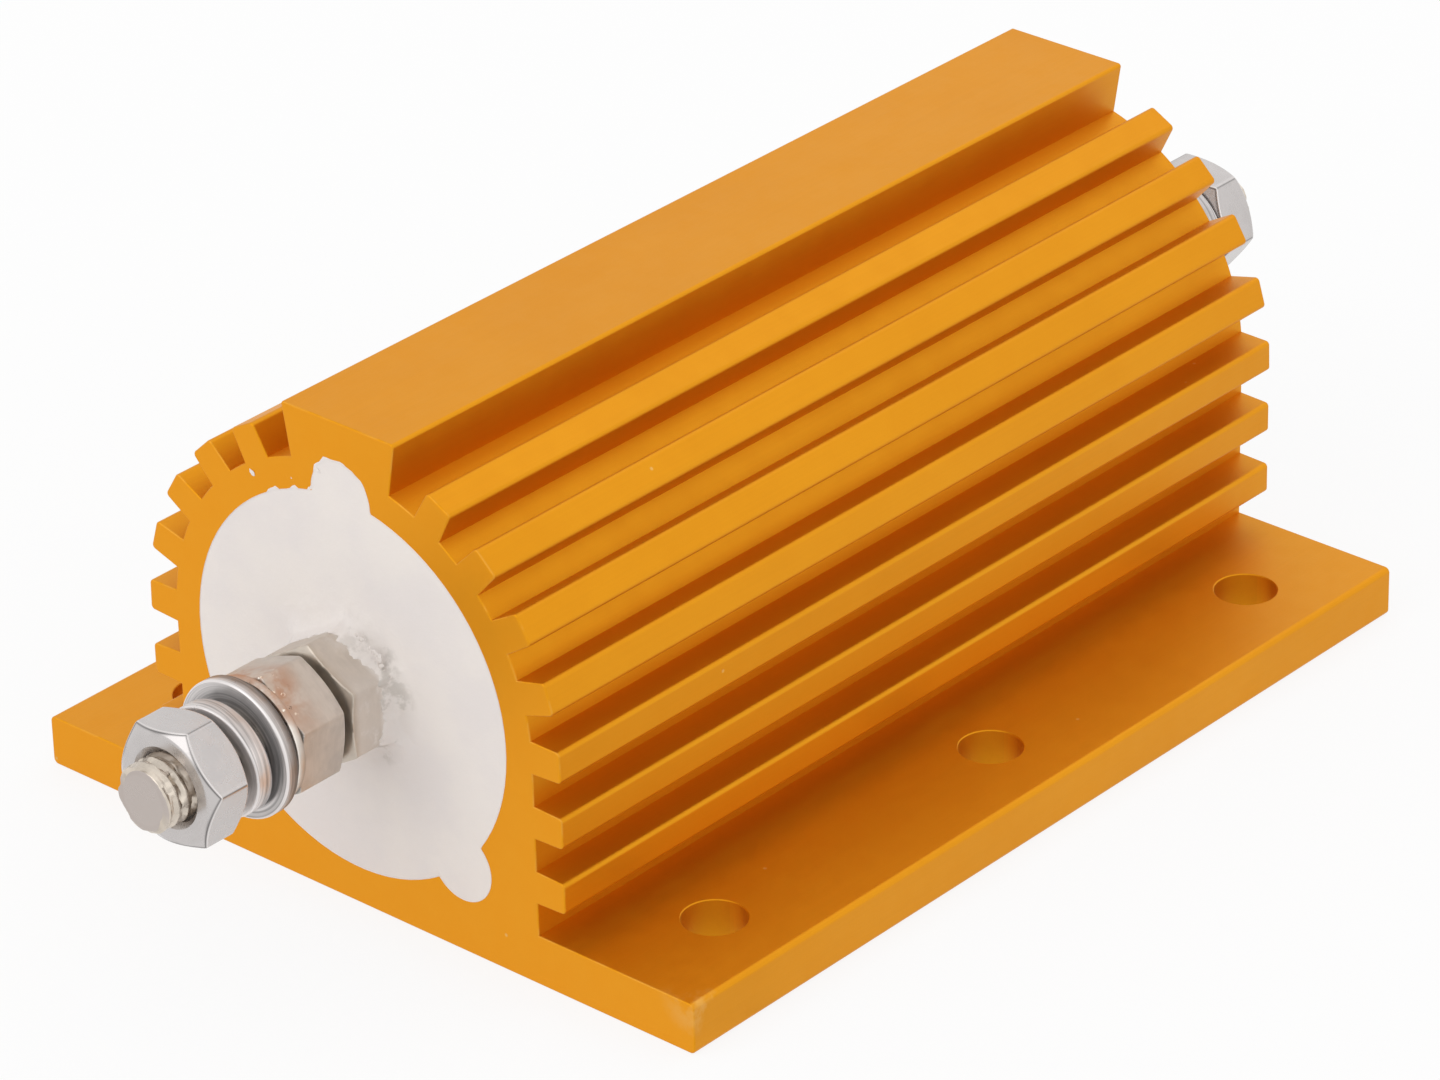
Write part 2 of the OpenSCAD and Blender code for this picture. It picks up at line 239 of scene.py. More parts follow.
class Graph:
    """Adds nodes to a tree, and links every input that is given as a socket."""

    def __init__(self, tree):
        self.tree = tree

    def add(self, kind, inputs=None, **settings):
        """Adds a node with its settings and inputs."""
        node = self.tree.nodes.new(kind)
        for name, value in settings.items():
            setattr(node, name, value)
        for key, value in (inputs or {}).items():
            self.feed(node.inputs[key], value)
        return node

    def feed(self, socket, value):
        """Links a socket, or sets a plain value or colour."""
        if isinstance(value, bpy.types.NodeSocket):
            self.tree.links.new(value, socket)
        elif socket.type == "RGBA" and len(value) == 3:
            socket.default_value = (*value, 1.0)
        else:
            socket.default_value = value

    def out(self, kind, inputs=None, **settings):
        """Adds a node and returns its first output."""
        return self.add(kind, inputs, **settings).outputs[0]

    def math(self, operation, *values, clamp=False):
        settings = {"operation": operation, "use_clamp": clamp}
        return self.out("ShaderNodeMath", dict(enumerate(values)), **settings)

    def plus(self, a, b):
        return self.math("ADD", a, b)

    def less(self, a, b):
        return self.math("SUBTRACT", a, b)

    def larger(self, a, b):
        return self.math("MAXIMUM", a, b)

    def times(self, product, *values):
        for value in values:
            product = self.math("MULTIPLY", product, value)
        return product

    def vector(self, operation, *values, output=0):
        node = self.add("ShaderNodeVectorMath", dict(enumerate(values)), operation=operation)
        return node.outputs[output]

    def parts(self, vector):
        return self.add("ShaderNodeSeparateXYZ", {0: vector}).outputs

    def remap(self, value, low, high, to_low=0.0, to_high=1.0, curve="SMOOTHSTEP"):
        inputs = {0: value, 1: low, 2: high, 3: to_low, 4: to_high}
        return self.out("ShaderNodeMapRange", inputs, interpolation_type=curve)

    def mix(self, factor, a, b):
        node = self.add("ShaderNodeMix", data_type="RGBA")
        for index, value in ((0, factor), (6, a), (7, b)):
            self.feed(node.inputs[index], value)
        return node.outputs[2]

    def noise(self, vector, scale, detail=3.0, roughness=0.55):
        inputs = {"Vector": vector, "Scale": scale, "Detail": detail, "Roughness": roughness}
        return self.add("ShaderNodeTexNoise", inputs).outputs["Fac"]


def empty_tree(data):
    """Turns on the nodes of a material or world, and returns its emptied tree."""
    data.use_nodes = True
    data.node_tree.nodes.clear()
    return data.node_tree


SOCKETS = {float: "Float", int: "Int", tuple: "Vector", type(None): "Material"}


def new_tree(kind, name, inputs):
    """A node tree with named inputs, each of its default's kind; returns its graph and inputs."""
    tree = bpy.data.node_groups.new(name, kind)
    for label, default in inputs.items():
        socket_type = f"NodeSocket{SOCKETS[type(default)]}"
        socket = tree.interface.new_socket(label, in_out="INPUT", socket_type=socket_type)
        if default is not None:
            socket.default_value = default
    graph = Graph(tree)
    return graph, graph.add("NodeGroupInput").outputs


def spaced(inputs):
    """Inputs by name, with spaces in place of the names' underscores."""
    return {key.replace("_", " "): value for key, value in inputs.items()}


def mask_group(name, **inputs):
    """Starts a shader group on a place, with more inputs."""
    return new_tree("ShaderNodeTree", name, {"Vector": (0.0, 0.0, 0.0), **spaced(inputs)})


def close_group(graph, **values):
    """Ends a shader group with one output for each value."""
    for label in values:
        interface = graph.tree.interface
        interface.new_socket(label, in_out="OUTPUT", socket_type="NodeSocketFloat")
    graph.add("NodeGroupOutput", values)
    return graph.tree


def build_grain(name):
    """Fine grain, which can be stretched, and slow clouds."""
    stretch = (1.0, 1.0, 1.0)
    graph, given = mask_group(name, Stretch=stretch, Grain_scale=4000.0, Cloud_scale=90.0)
    place = graph.vector("MULTIPLY", given["Vector"], given["Stretch"])
    fine = graph.noise(place, given["Grain scale"], 2.0, 0.6)
    return close_group(graph, Grain=fine, Cloud=graph.noise(given["Vector"], given["Cloud scale"]))


def build_specks(name):
    """Small scattered specks: 1 on a speck, 0 beside it."""
    graph, given = mask_group(name, Scale=300.0, Size=0.12, Cover=0.3)
    cells = {"Vector": given["Vector"], "Scale": given["Scale"]}
    cells = graph.add("ShaderNodeTexVoronoi", cells).outputs
    size = given["Size"]
    dot = graph.remap(cells["Distance"], graph.times(size, 0.4), size, 1.0, 0.0)
    chance = graph.add("ShaderNodeSeparateColor", {"Color": cells["Color"]}).outputs["Red"]
    chosen = graph.math("LESS_THAN", chance, given["Cover"])
    return close_group(graph, Specks=graph.times(dot, chosen))


def build_rubs(name):
    """Patches where a surface was handled or rubbed: soft edged, broken up by finer noise."""
    graph, given = mask_group(name, Scale=200.0, Cover=0.4, Softness=0.08)
    slow = graph.noise(given["Vector"], given["Scale"], 4.0, 0.62)
    start = graph.less(1.0, given["Cover"])
    stop = graph.plus(start, given["Softness"])
    return close_group(graph, Patches=graph.remap(slow, start, stop))


def build_end_distance(name):
    """Distance outwards from the housing's nearer end, and distance from the bore's axis."""
    graph, given = mask_group(name)
    parts = graph.parts(given["Vector"])
    away = graph.less(graph.math("ABSOLUTE", parts["X"]), HALF_LENGTH)
    rise = graph.less(parts["Z"], AXIS_HEIGHT)
    square = graph.plus(graph.times(rise, rise), graph.times(parts["Y"], parts["Y"]))
    return close_group(graph, Out=away, Radius=graph.math("SQRT", square))


GROUPS = {
    "Resistor grain": build_grain,
    "Resistor specks": build_specks,
    "Resistor rubs": build_rubs,
    "Resistor end distance": build_end_distance,
}


class Material(Graph):
    """Graph of a material with one Principled shader, whose textures read Object coordinates."""

    def __init__(self, name):
        self.data = bpy.data.materials.new(name)
        super().__init__(empty_tree(self.data))
        self.colour = None
        self.shader = self.add("ShaderNodeBsdfPrincipled")
        self.add("ShaderNodeOutputMaterial", {"Surface": self.shader.outputs[0]})
        self.place = self.add("ShaderNodeTexCoord").outputs["Object"]

    def group(self, name, **inputs):
        """Places one of the shared node groups, and returns its outputs."""
        tree = bpy.data.node_groups.get(name) or GROUPS[name](name)
        values = {"Vector": self.place, **spaced(inputs)}
        return self.add("ShaderNodeGroup", values, node_tree=tree).outputs

    def grain(self, grain_scale, cloud_scale, **more):
        scales = {"Grain_scale": grain_scale, "Cloud_scale": cloud_scale}
        return self.group("Resistor grain", **scales, **more).values()

    def rubs(self, scale, cover, softness=0.08):
        return self.group("Resistor rubs", Scale=scale, Cover=cover, Softness=softness)["Patches"]

    def specks(self, scale, size, cover):
        return self.group("Resistor specks", Scale=scale, Size=size, Cover=cover)["Specks"]

    def end_distance(self):
        return self.group("Resistor end distance").values()

    def facing(self):
        """How far a face looks along the housing, from 0 to 1."""
        normal = self.add("ShaderNodeNewGeometry").outputs["True Normal"]
        return self.math("ABSOLUTE", self.parts(normal)["X"])

    def paint(self, mask, colour):
        """Covers the colour so far with another one where the mask is 1."""
        self.colour = self.mix(mask, self.colour, colour)

    def finish(self, metallic, roughness, height, depth):
        """Sets the shader's inputs, with a height as bump, and returns the material."""
        bump = {"Height": height, "Distance": depth, "Strength": 1.0}
        shown = {"Base Color": self.colour, "Metallic": metallic, "Roughness": roughness}
        shown["Normal"] = self.add("ShaderNodeBump", bump).outputs["Normal"]
        for key, value in shown.items():
            self.feed(self.shader.inputs[key], value)
        return self.data


def tint(colour, *shares):
    """A colour times one share, or times a share for each channel, at most 1."""
    return tuple(min(1.0, c * k) for c, k in zip(colour, shares * 3))


def anodised_gold(sizes):
    """Dyed satin aluminium: die lines along the extrusion, wear at its ends' edges, and end faces
    painted lighter, partly their own sawn tone and partly painted light.
    """
    made = Material("Gold anodised aluminium")
    line_grain, line_cloud = made.grain(5200.0, 55.0, Stretch=(0.012, 1.0, 1.0))
    blast, blast_cloud = made.grain(9000.0, 420.0)
    specks = made.specks(260.0, 0.055, 0.22)
    out, _ = made.end_distance()
    across = made.facing()
    end_face = made.remap(across, 0.96, 0.995)
    end_round = made.math("SUBTRACT", made.remap(across, 0.08, 0.25), end_face, clamp=True)
    broken = made.times(made.remap(out, -0.0004, -0.00005), made.remap(blast_cloud, 0.42, 0.62))

    gold = tuple(sizes.gold)
    made.colour = tint(gold, 0.975, 0.96, 0.88)
    made.paint(made.remap(line_cloud, 0.35, 0.68), gold)
    made.paint(made.times(made.remap(line_grain, 0.3, 0.7), 0.10), tint(gold, 0.82))
    # End faces lighter: partly the sawn face's own tone, partly painted light.
    made.paint(made.times(end_face, 0.85), tint(gold, 1.08, 1.08, 1.0))
    corner = made.vector("DISTANCE", made.place, SCUFFED_CORNER, output=1)
    scuff = made.times(made.rubs(420.0, 0.55, 0.2), made.remap(corner, 0.0008, 0.0042, 0.6, 0.0))
    worn = made.larger(made.times(end_round, broken, 0.25), specks)
    made.paint(made.larger(worn, scuff), tuple(sizes.worn))

    rough = made.remap(blast_cloud, 0.3, 0.7, sizes.satin - 0.01, sizes.satin + 0.03)
    rough = made.plus(rough, made.times(made.rubs(150.0, 0.44, 0.10), 0.015))
    rough = made.plus(rough, made.times(end_face, 0.04))
    fine = made.times(made.less(1.0, end_face), line_grain, 0.55)
    height = made.less(made.plus(fine, blast), made.times(specks, 1.5))
    return made.finish(0.9, rough, height, 0.000012)


def dry_cement(sizes):
    """Matte white cement, faintly pink, with pits painted darker as shade, and grey round the
    inner nut, most on its -Y side, partly metal dust and partly the nut's painted shadow.
    """
    made = Material("White cement")
    grain, cloud = made.grain(2600.0, 140.0)
    pits = made.specks(900.0, 0.20, 0.16)
    _, radius = made.end_distance()
    white, soiled = tuple(sizes.white), tuple(sizes.soiled)
    made.colour = tint(white, 0.955, 0.955, 0.975)
    made.paint(made.remap(cloud, 0.34, 0.66), white)
    # Grey round the inner nut, most on its -Y side: partly metal dust, partly the nut's painted
    # shadow.
    near = made.remap(radius, 0.0058, 0.0077, 1.0, 0.0)
    side = made.remap(made.parts(made.place)["Y"], 0.001, -0.004, 0.08, 1.0)
    mottle_of_dust_and_shadow = made.remap(made.rubs(420.0, 0.52, 0.16), 0.0, 1.0, 0.3, 1.0)
    made.paint(made.times(near, side, mottle_of_dust_and_shadow, 0.82), soiled)
    # Pits painted darker: painted shade in them.
    made.paint(made.times(pits, 0.22), soiled)
    rough = made.remap(cloud, 0.3, 0.7, 0.78, 0.9)
    return made.finish(0.0, rough, made.less(grain, made.times(pits, 0.9)), 0.00003)


def plated(name, base, roughness, turned, wear, stain=None, dust=0.0, metal=0.82):
    """Plated steel: painted dark and bright reflection streaks round the axis, tarnish, painted
    highlight and shade lines along its edges, and dust of the cement.
    """
    made = Material(name)
    base = tuple(base)
    grain, cloud = made.grain(3600.0, 480.0)
    out, radius = made.end_distance()
    parts = made.parts(made.place)
    rings = made.out("ShaderNodeCombineXYZ", {"X": out, "Y": radius})
    drift = made.vector("MULTIPLY", made.place, (0.0, 0.03, 0.03))
    reflection_streaks = made.noise(made.vector("ADD", rings, drift), 3400.0, 2.0, 0.7)
    line = made.add("ShaderNodeAttribute", attribute_name="edge_line").outputs["Fac"]

    made.colour = tint(base, 1 - wear)
    made.paint(made.remap(cloud, 0.35, 0.66), base)
    # Painted reflections: dark streaks, then bright ones, laid round the axis as turning marks
    # catch the light; turned sets how strong they are.
    made.paint(made.times(made.remap(reflection_streaks, 0.50, 0.62), turned), tint(base, 0.30))
    made.paint(made.times(made.remap(reflection_streaks, 0.36, 0.46, 1.0, 0.0), turned), tint(base, 1.6))
    # Painted highlights where the line attribute is above 0, painted shade and dark reflections
    # where it is below 0.
    made.paint(made.times(made.larger(line, 0.0), 0.75), tint(base, 1.6))
    made.paint(made.larger(made.times(line, -1.0), 0.0), tint(base, 0.2))
    rough = made.remap(cloud, 0.3, 0.7, roughness - 0.04, roughness + 0.06)
    rough = made.plus(rough, made.times(made.rubs(900.0, 0.42, 0.14), 0.08))
    if stain is not None:
        upper = made.remap(parts["Z"], AXIS_HEIGHT + 0.0015, AXIS_HEIGHT + 0.0045)
        collar = made.times(upper, made.remap(out, 0.0070, 0.0096))
        made.paint(made.times(made.rubs(260.0, 0.63, 0.2), collar, 0.92), tuple(stain))
        beside = made.times(upper, made.remap(out, 0.0085, 0.0098))
        # Near-black flecks, and near-white flecks that are painted glints, in patches beside the
        # collar.
        for scale, fleck in ((1600.0, (0.05, 0.04, 0.03)), (1750.0, (1.0, 0.97, 0.88))):
            fleck_patches = made.times(made.rubs(scale * 1.6, 0.5), beside)
            made.paint(made.times(made.specks(scale, 0.50, 0.22), fleck_patches), fleck)
    made.paint(made.times(made.specks(1500.0, 0.16, 0.12), wear), tint(base, 0.5))
    if dust:
        foot = made.times(made.remap(out, dust * 0.5, dust, 1.0, 0.0), 0.9)
        haze = made.remap(made.rubs(420.0, 0.50, 0.2), 0.0, 1.0, 0.45, 0.95)
        side = made.remap(parts["Y"], -0.0025, -0.0050, 0.5, 0.95)
        haze = made.times(haze, side, made.remap(out, 0.0040, 0.0047, 1.0, 0.0))
        cover = made.larger(foot, haze)
        made.paint(cover, tint(bpy.context.scene.resistor_cement.white, 0.9))
        rough = made.math("ADD", rough, made.times(cover, 0.45), clamp=True)
        metal = made.times(made.less(1.0, cover), metal)
    return made.finish(metal, rough, grain, 0.0000012)


def threaded_metal(sizes):
    """Rolled thread: darker grey-brown in patches towards the roots, brighter crests, greyer tips.
    """
    made = Material("Stud metal")
    warm, crest = tuple(sizes.warm), sizes.stud_d / 2
    grain, cloud = made.grain(3000.0, 700.0)
    _, radius = made.end_distance()
    root = made.remap(radius, crest - 0.0006, crest - 0.0001, 1.0, 0.0)
    root_darkening = made.times(root, made.remap(radius, crest - 0.0010, crest - 0.0007))
    made.colour = tint(warm, 0.82)
    made.paint(made.remap(cloud, 0.35, 0.65), warm)
    patches = made.remap(made.rubs(1100.0, 0.48, 0.14), 0.0, 1.0, 0.1, 0.34)
    # Darker in patches towards the thread's roots.
    made.paint(made.times(root_darkening, patches), tint(warm, 0.34))
    made.paint(made.remap(made.facing(), 0.97, 0.995), tint(warm, 0.72, 0.72, 0.78))
    rough = made.plus(made.remap(cloud, 0.3, 0.7, 0.24, 0.36), made.times(root_darkening, 0.2))
    return made.finish(1.0, rough, grain, 0.000008)


def plain_finish(name, base, metallic, roughness, grain_scale, depth):
    """Finish of a piece inside the housing: one colour broken up by grain and clouds."""
    made = Material(name)
    grain, cloud = made.grain(grain_scale, 160.0)
    made.colour = tint(base, 0.84)
    made.paint(made.remap(cloud, 0.3, 0.7), tuple(base))
    rough = made.remap(grain, 0.3, 0.7, roughness - 0.06, roughness + 0.06)
    return made.finish(metallic, rough, grain, depth)


def material_once(name, build, sizes):
    """A material by name, built the first time that it is asked for."""
    return bpy.data.materials.get(name) or build(sizes)


# ---- Meshes ----


def even_angles(count):
    """Angles at even steps round a full turn."""
    return np.linspace(0, TURN, count, endpoint=False)


def circle(radius, station, angles):
    """A ring of points about Z; the radius may be one for each angle."""
    radius = np.broadcast_to(radius, angles.shape)
    station = np.full(angles.shape, station)
    return np.column_stack([radius * np.cos(angles), radius * np.sin(angles), station])


def ring_faces(count, around, joined):
    """Quads between rings of equal count; joined also links the last ring to the first."""
    row, column = np.indices((count if joined else count - 1, around))
    near, far, beside = row * around, (row + 1) % count * around, (column + 1) % around
    quads = [near + column, far + column, far + beside, near + beside]
    return np.stack(quads, axis=-1).reshape(-1, 4).tolist()


def plain_mesh(name, points, faces):
    """A mesh of an array of points and a list of faces."""
    mesh = bpy.data.meshes.new(name)
    mesh.from_pydata(points.tolist(), [], faces)
    return mesh


def rings_mesh(name, rings):
    """A closed surface through rings of equal count, the last one joined to the first."""
    rings = np.asarray(rings, float)
    return plain_mesh(name, rings.reshape(-1, 3), ring_faces(*rings.shape[:2], joined=True))


def moved_mesh(mesh, change):
    """Passes a mesh's vertices through a function of their array."""
    mesh.vertices.foreach_set("co", change(mesh_points(mesh)).ravel())
    mesh.update()
    return mesh


def close_work(work, mesh):
    """Turns a bmesh's faces outwards, and writes it to a mesh."""
    bmesh.ops.recalc_face_normals(work, faces=work.faces)
    work.to_mesh(mesh)
    work.free()
    return mesh


def tidy_mesh(mesh, smooth_angle, merge=2e-7):
    """Merges doubles, turns the faces outwards, and shades smooth below an angle in degrees."""
    work = bmesh.new()
    work.from_mesh(mesh)
    bmesh.ops.remove_doubles(work, verts=work.verts, dist=merge)
    bmesh.ops.dissolve_degenerate(work, dist=merge, edges=work.edges)
    open_edges = sum(1 for edge in work.edges if not edge.is_manifold)
    close_work(work, mesh)
    mesh.shade_smooth()
    mesh.set_sharp_from_angle(angle=math.radians(smooth_angle))
    return open_edges


def applied(piece):
    """The piece's mesh with its modifiers applied, in place of the old one."""
    graph = bpy.context.evaluated_depsgraph_get()
    mesh = bpy.data.meshes.new_from_object(piece.evaluated_get(graph), depsgraph=graph)
    old = piece.data
    piece.modifiers.clear()
    piece.data = mesh
    mesh.name = piece.name
    bpy.data.meshes.remove(old)
    return mesh


def new_object(name, data):
    """A linked object that holds a mesh, lamp or camera."""
    made = bpy.data.objects.new(name, data)
    bpy.context.scene.collection.objects.link(made)
    return made


def dress(shape, material):
    """Gives an object's mesh its one material."""
    shape.data.materials.clear()
    shape.data.materials.append(material)


def join_frame(piece, nodes, material):
    """Gives a piece its material, and puts it on the frame in place of CAD nodes."""
    dress(piece, material)
    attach(piece, BODY)
    if nodes:
        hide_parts(*nodes)


def finish_piece(name, mesh, nodes, material, smooth_angle):
    """Tidies a mesh and makes it a piece on the frame."""
    open_edges = tidy_mesh(mesh, smooth_angle)
    if open_edges:
        raise RuntimeError(f"{name} has {open_edges} open edges")
    piece = new_object(name, mesh)
    join_frame(piece, nodes, material)
    return piece


# ---- Housing ----


def end_outlines():
    """Outlines of the housing's end face, as (Y, Z) loops: the profile, then the bore."""
    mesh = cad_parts["housing"].data
    steps = {}
    for face in mesh.polygons:
        points = [mesh.vertices[i].co for i in face.vertices]
        if any(abs(p.x + HALF_LENGTH) > 1e-6 for p in points):
            continue
        keys = [(round(p.y, 7), round(p.z, 7)) for p in points]
        for a, b in zip(keys, keys[1:] + keys[:1]):
            if a in steps.get(b, ()):
                steps[b].remove(a)
            else:
                steps.setdefault(a, []).append(b)
    steps = {a: ways for a, ways in steps.items() if ways}
    loops = []
    while steps:
        loop, here = [], next(iter(steps))
        while here in steps and here != (loop or [None])[0]:
            loop.append(here)
            ways = steps[here]
            if len(ways) == 1:
                del steps[here]
            here = ways.pop()
        loops.append(np.array(loop))
    return sorted(loops, key=lambda loop: -np.ptp(loop[:, 0]))


def oriented(loop, way):
    """The loop run anticlockwise for way 1, and clockwise for way -1."""
    after = np.roll(loop, -1, axis=0)
    area = np.sum(loop[:, 0] * after[:, 1] - after[:, 0] * loop[:, 1])
    return loop if area * way > 0 else loop[::-1]


def unit(vectors):
    """Vectors of length 1 in the same directions."""
    return vectors / np.linalg.norm(vectors, axis=1, keepdims=True)


def inset(loop, width):
    """The loop moved towards its left-hand side by a width, with mitred corners."""
    ahead = unit(np.roll(loop, -1, axis=0) - loop)
    left = np.stack([-ahead[:, 1], ahead[:, 0]], axis=1)
    middle = unit(left + np.roll(left, 1, axis=0))
    cosine = np.maximum(np.sum(middle * left, axis=1), 0.5)
    return loop + middle * (width / cosine)[:, None]


def rounded_tube(loop, radius):
    """Rings of a tube along the housing through a loop, with rounded ends."""
    rings = []
    for side in (-1, 1):
        for angle in np.linspace(0, math.pi / 2, 5)[::side]:
            x = side * (HALF_LENGTH - radius * (1 - math.sin(angle)))
            moved = inset(loop, radius * (1 - math.cos(angle)))
            rings.append(np.insert(moved, 0, x, axis=1))
    return rings


def add_rings(work, rings):
    """Adds an open tube to a bmesh and returns its first and last ring of vertices."""
    made = [[work.verts.new(p) for p in ring] for ring in rings]
    for low, high in zip(made, made[1:]):
        for i in range(len(low)):
            j = (i + 1) % len(low)
            work.faces.new((low[i], high[i], high[j], low[j]))
    return made[0], made[-1]


def ring_edges(work, ring):
    """The edges between neighbours on a ring of vertices."""
    return [work.edges.get((a, b)) for a, b in zip(ring, ring[1:] + ring[:1])]


def hole_cutter(sizes):
    """Spindles that cut the six mounting holes with their chamfers."""
    points = mesh_points(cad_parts["housing"].data)
    thickness = points[np.abs(points[:, 1]) > HOUSING_HIGH[1] - STRIP][:, 2].max()
    radius, chamfer = sizes.hole_d / 2, sizes.hole_chamfer
    profile = [(radius + chamfer + PAST, -PAST), (radius, chamfer)]
    profile += [(r, thickness - z) for r, z in reversed(profile)]
    work = bmesh.new()
    for column in (-1, 0, 1):
        for side in (-1, 1):
            centre = (column * sizes.hole_pitch, side * sizes.hole_span / 2, 0)
            rings = [circle(r, z, even_angles(HOLE_COLUMNS)) + centre for r, z in profile]
            for ring in add_rings(work, rings):
                work.faces.new(ring)
    return new_object("hole_cutter", close_work(work, bpy.data.meshes.new("hole_cutter")))


class RESISTOR_OT_housing(Operator):
    """Make the extruded housing with rounded ends, fins, land and mounting holes"""

    bl_idname = "resistor.housing"
    bl_label = "Housing"

    def execute(self, context):
        sizes = context.scene.resistor_housing
        outer, bore = end_outlines()
        work = bmesh.new()
        skin = add_rings(work, rounded_tube(oriented(outer, 1), sizes.end_round))
        hole = add_rings(work, rounded_tube(oriented(bore, -1), sizes.end_round * 0.4))
        for out_ring, in_ring in zip(skin, hole):
            edges = ring_edges(work, out_ring) + ring_edges(work, in_ring)
            bmesh.ops.triangle_fill(work, use_beauty=True, edges=edges)
        piece = new_object("housing_skin", close_work(work, bpy.data.meshes.new("housing_skin")))
        drill = piece.modifiers.new("Holes", "BOOLEAN")
        drill.object, drill.operation, drill.solver = hole_cutter(sizes), "DIFFERENCE", "EXACT"
        cutter = drill.object.data
        mesh = applied(piece)
        bpy.data.meshes.remove(cutter)
        tidy_mesh(mesh, 32.0, merge=1e-7)
        piece.modifiers.new("Flat faces", "WEIGHTED_NORMAL").keep_sharp = True
        applied(piece)
        material = material_once("Gold anodised aluminium", anodised_gold, sizes)
        join_frame(piece, ["housing"], material)
        return {"FINISHED"}


# ---- Cement ----


def even_points(loop, count):
    """Points at even steps along a loop in (Y, Z), anticlockwise about the bore's axis."""
    loop = oriented(loop, 1)
    angles = np.arctan2(loop[:, 1] - AXIS_HEIGHT, loop[:, 0])
    loop = np.roll(loop, -np.argmin(np.abs(angles)), axis=0)
    closed = np.vstack([loop, loop[:1]])
    steps = np.linalg.norm(np.diff(closed, axis=0), axis=1)
    along = np.concatenate([[0], np.cumsum(steps)])
    wanted = np.linspace(0, along[-1], count, endpoint=False)
    return np.column_stack([np.interp(wanted, along, closed[:, i]) for i in (0, 1)])


def roughness_at(point, scale, seed, octaves=3):
    """Smooth noise from about -1 to 1 at a point in metres; scale is the size of its features."""
    place = Vector(point) / scale + Vector((seed, 2.3 * seed, -seed))
    return noise.fractal(place, 1.0, 2.0, octaves)


def hexagon_radius(angle, turn, across_flats):
    """Distance from a hexagon's centre to its side at an angle."""
    sector = (angle - turn) % (TURN / 6) - TURN / 12
    return across_flats / 2 / np.cos(sector)


def cement_face(sizes, outline, angles, turn, across_flats, end):
    """Rings of one open cement face, from inside the inner nut out to the lip over the rim."""
    seed, sign = (3.0, -1) if end == "front" else (11.0, 1)
    inner = circle(across_flats / 2 * 0.94, 0.0, angles)[:, :2] + (0.0, AXIS_HEIGHT)

    def wave(spot, size, shift, octaves=3):
        return roughness_at((*spot, 0.0), size, seed + shift, octaves)

    def lift(spot, part):
        up, side = spot[1] - AXIS_HEIGHT, -sign * spot[0]
        angle = math.atan2(side, up)
        gap = max(math.hypot(up, side) - hexagon_radius(angle, turn, across_flats), 0.0)
        fillet_w = sizes.fillet_w * (0.9 + 0.4 * wave(spot, 0.003, 5))
        film = 0.55 + 0.35 * wave((math.cos(angle), math.sin(angle)), 0.35, 0)
        film = max(0.0, film + 0.30 * wave(spot, 0.0006, 3))
        height = sizes.fillet * (1 + 0.3 * wave(spot, 0.004, 7))
        height *= math.exp(-((gap / fillet_w) ** 1.3))
        height += sizes.film * film * math.exp(-((gap / sizes.film_w) ** 2))
        height += sizes.waviness * wave(spot, 0.006, 1, 2) + sizes.grit * wave(spot, 0.0007, 2)
        return height * min(1.0, (1 - part) / 0.05) - NEAR

    near = np.linspace(0, DENSE, 34, endpoint=False)
    far = 1 - (1 - DENSE) * (1 - np.linspace(0, 1, 26)) ** 1.35
    rings = []
    for part in np.concatenate([near, far]):
        flat = inner + (outline - inner) * part
        rings.append([(sign * (HALF_LENGTH + lift(spot, part)), *spot) for spot in flat])
    outward = unit(inset(outline, -1.0) - outline)
    sides = np.arctan2(-sign * outline[:, 0], outline[:, 1] - AXIS_HEIGHT)
    smeared = np.exp(-(((sides - sizes.smear_at) / sizes.smear_arc) ** 4))
    laps = np.array([wave(spot, 0.0025, 9, 4) for spot in outline])
    laps = sizes.lip * (0.09 + smeared * np.clip(2.4 * (laps - 0.05), 0.0, 1.0))
    for reach, rise in ((0.5, 0.00004), (1.0, 0.00001), (1.0, -0.00006), (0.0, -0.00006)):
        ring = outline + outward * (laps * reach)[:, None]
        rings.append(np.insert(ring, 0, sign * (HALF_LENGTH + rise), axis=1))
    return rings


def element_hollow(angles):
    """Rings of the hollow round the element, front to rear, from the sizes of caps and wire."""
    rod_r, cap_r, wire_r = map(box_radius, ("ceramic_core", "end_cap_front", "resistance_wire"))
    cap_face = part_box("ceramic_core")[0][0] - (cap_r - rod_r)
    cap_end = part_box("end_cap_front")[1][0]
    neck_r = bpy.context.scene.resistor_terminals.nut_face_d / 2 - MARGIN
    profile = [(-HALF_LENGTH, neck_r), (cap_face, neck_r), (cap_face, cap_r)]
    profile += [(cap_end, cap_r), (cap_end, wire_r + 0.00005)]
    profile += [(-x, r) for x, r in reversed(profile)]
    middle = (0.0, 0.0, AXIS_HEIGHT)
    return [np.roll(circle(r, x, angles), 1, axis=1) + middle for x, r in profile]


class RESISTOR_OT_cement(Operator):
    """Make the cement that fills the bore, with uneven faces drawn up round the inner nuts"""

    bl_idname = "resistor.cement"
    bl_label = "Cement fill"

    def execute(self, context):
        sizes = context.scene.resistor_cement
        flats = context.scene.resistor_terminals.nut_af
        outline = even_points(end_outlines()[1], sizes.columns)
        start = math.atan2(outline[0, 1] - AXIS_HEIGHT, outline[0, 0])
        angles = even_angles(sizes.columns) + start
        front, rear = (
            cement_face(sizes, outline, angles, Seat(f"inner_nut_{end}", end).turn(), flats, end)
            for end in ENDS
        )
        mesh = rings_mesh("cement", [*front, *rear[::-1], *element_hollow(angles)[::-1]])
        material = material_once("White cement", dry_cement, sizes)
        finish_piece("cement", mesh, ["cement_fill"], material, 60.0)
        return {"FINISHED"}


# ---- Threads, nuts and washers ----


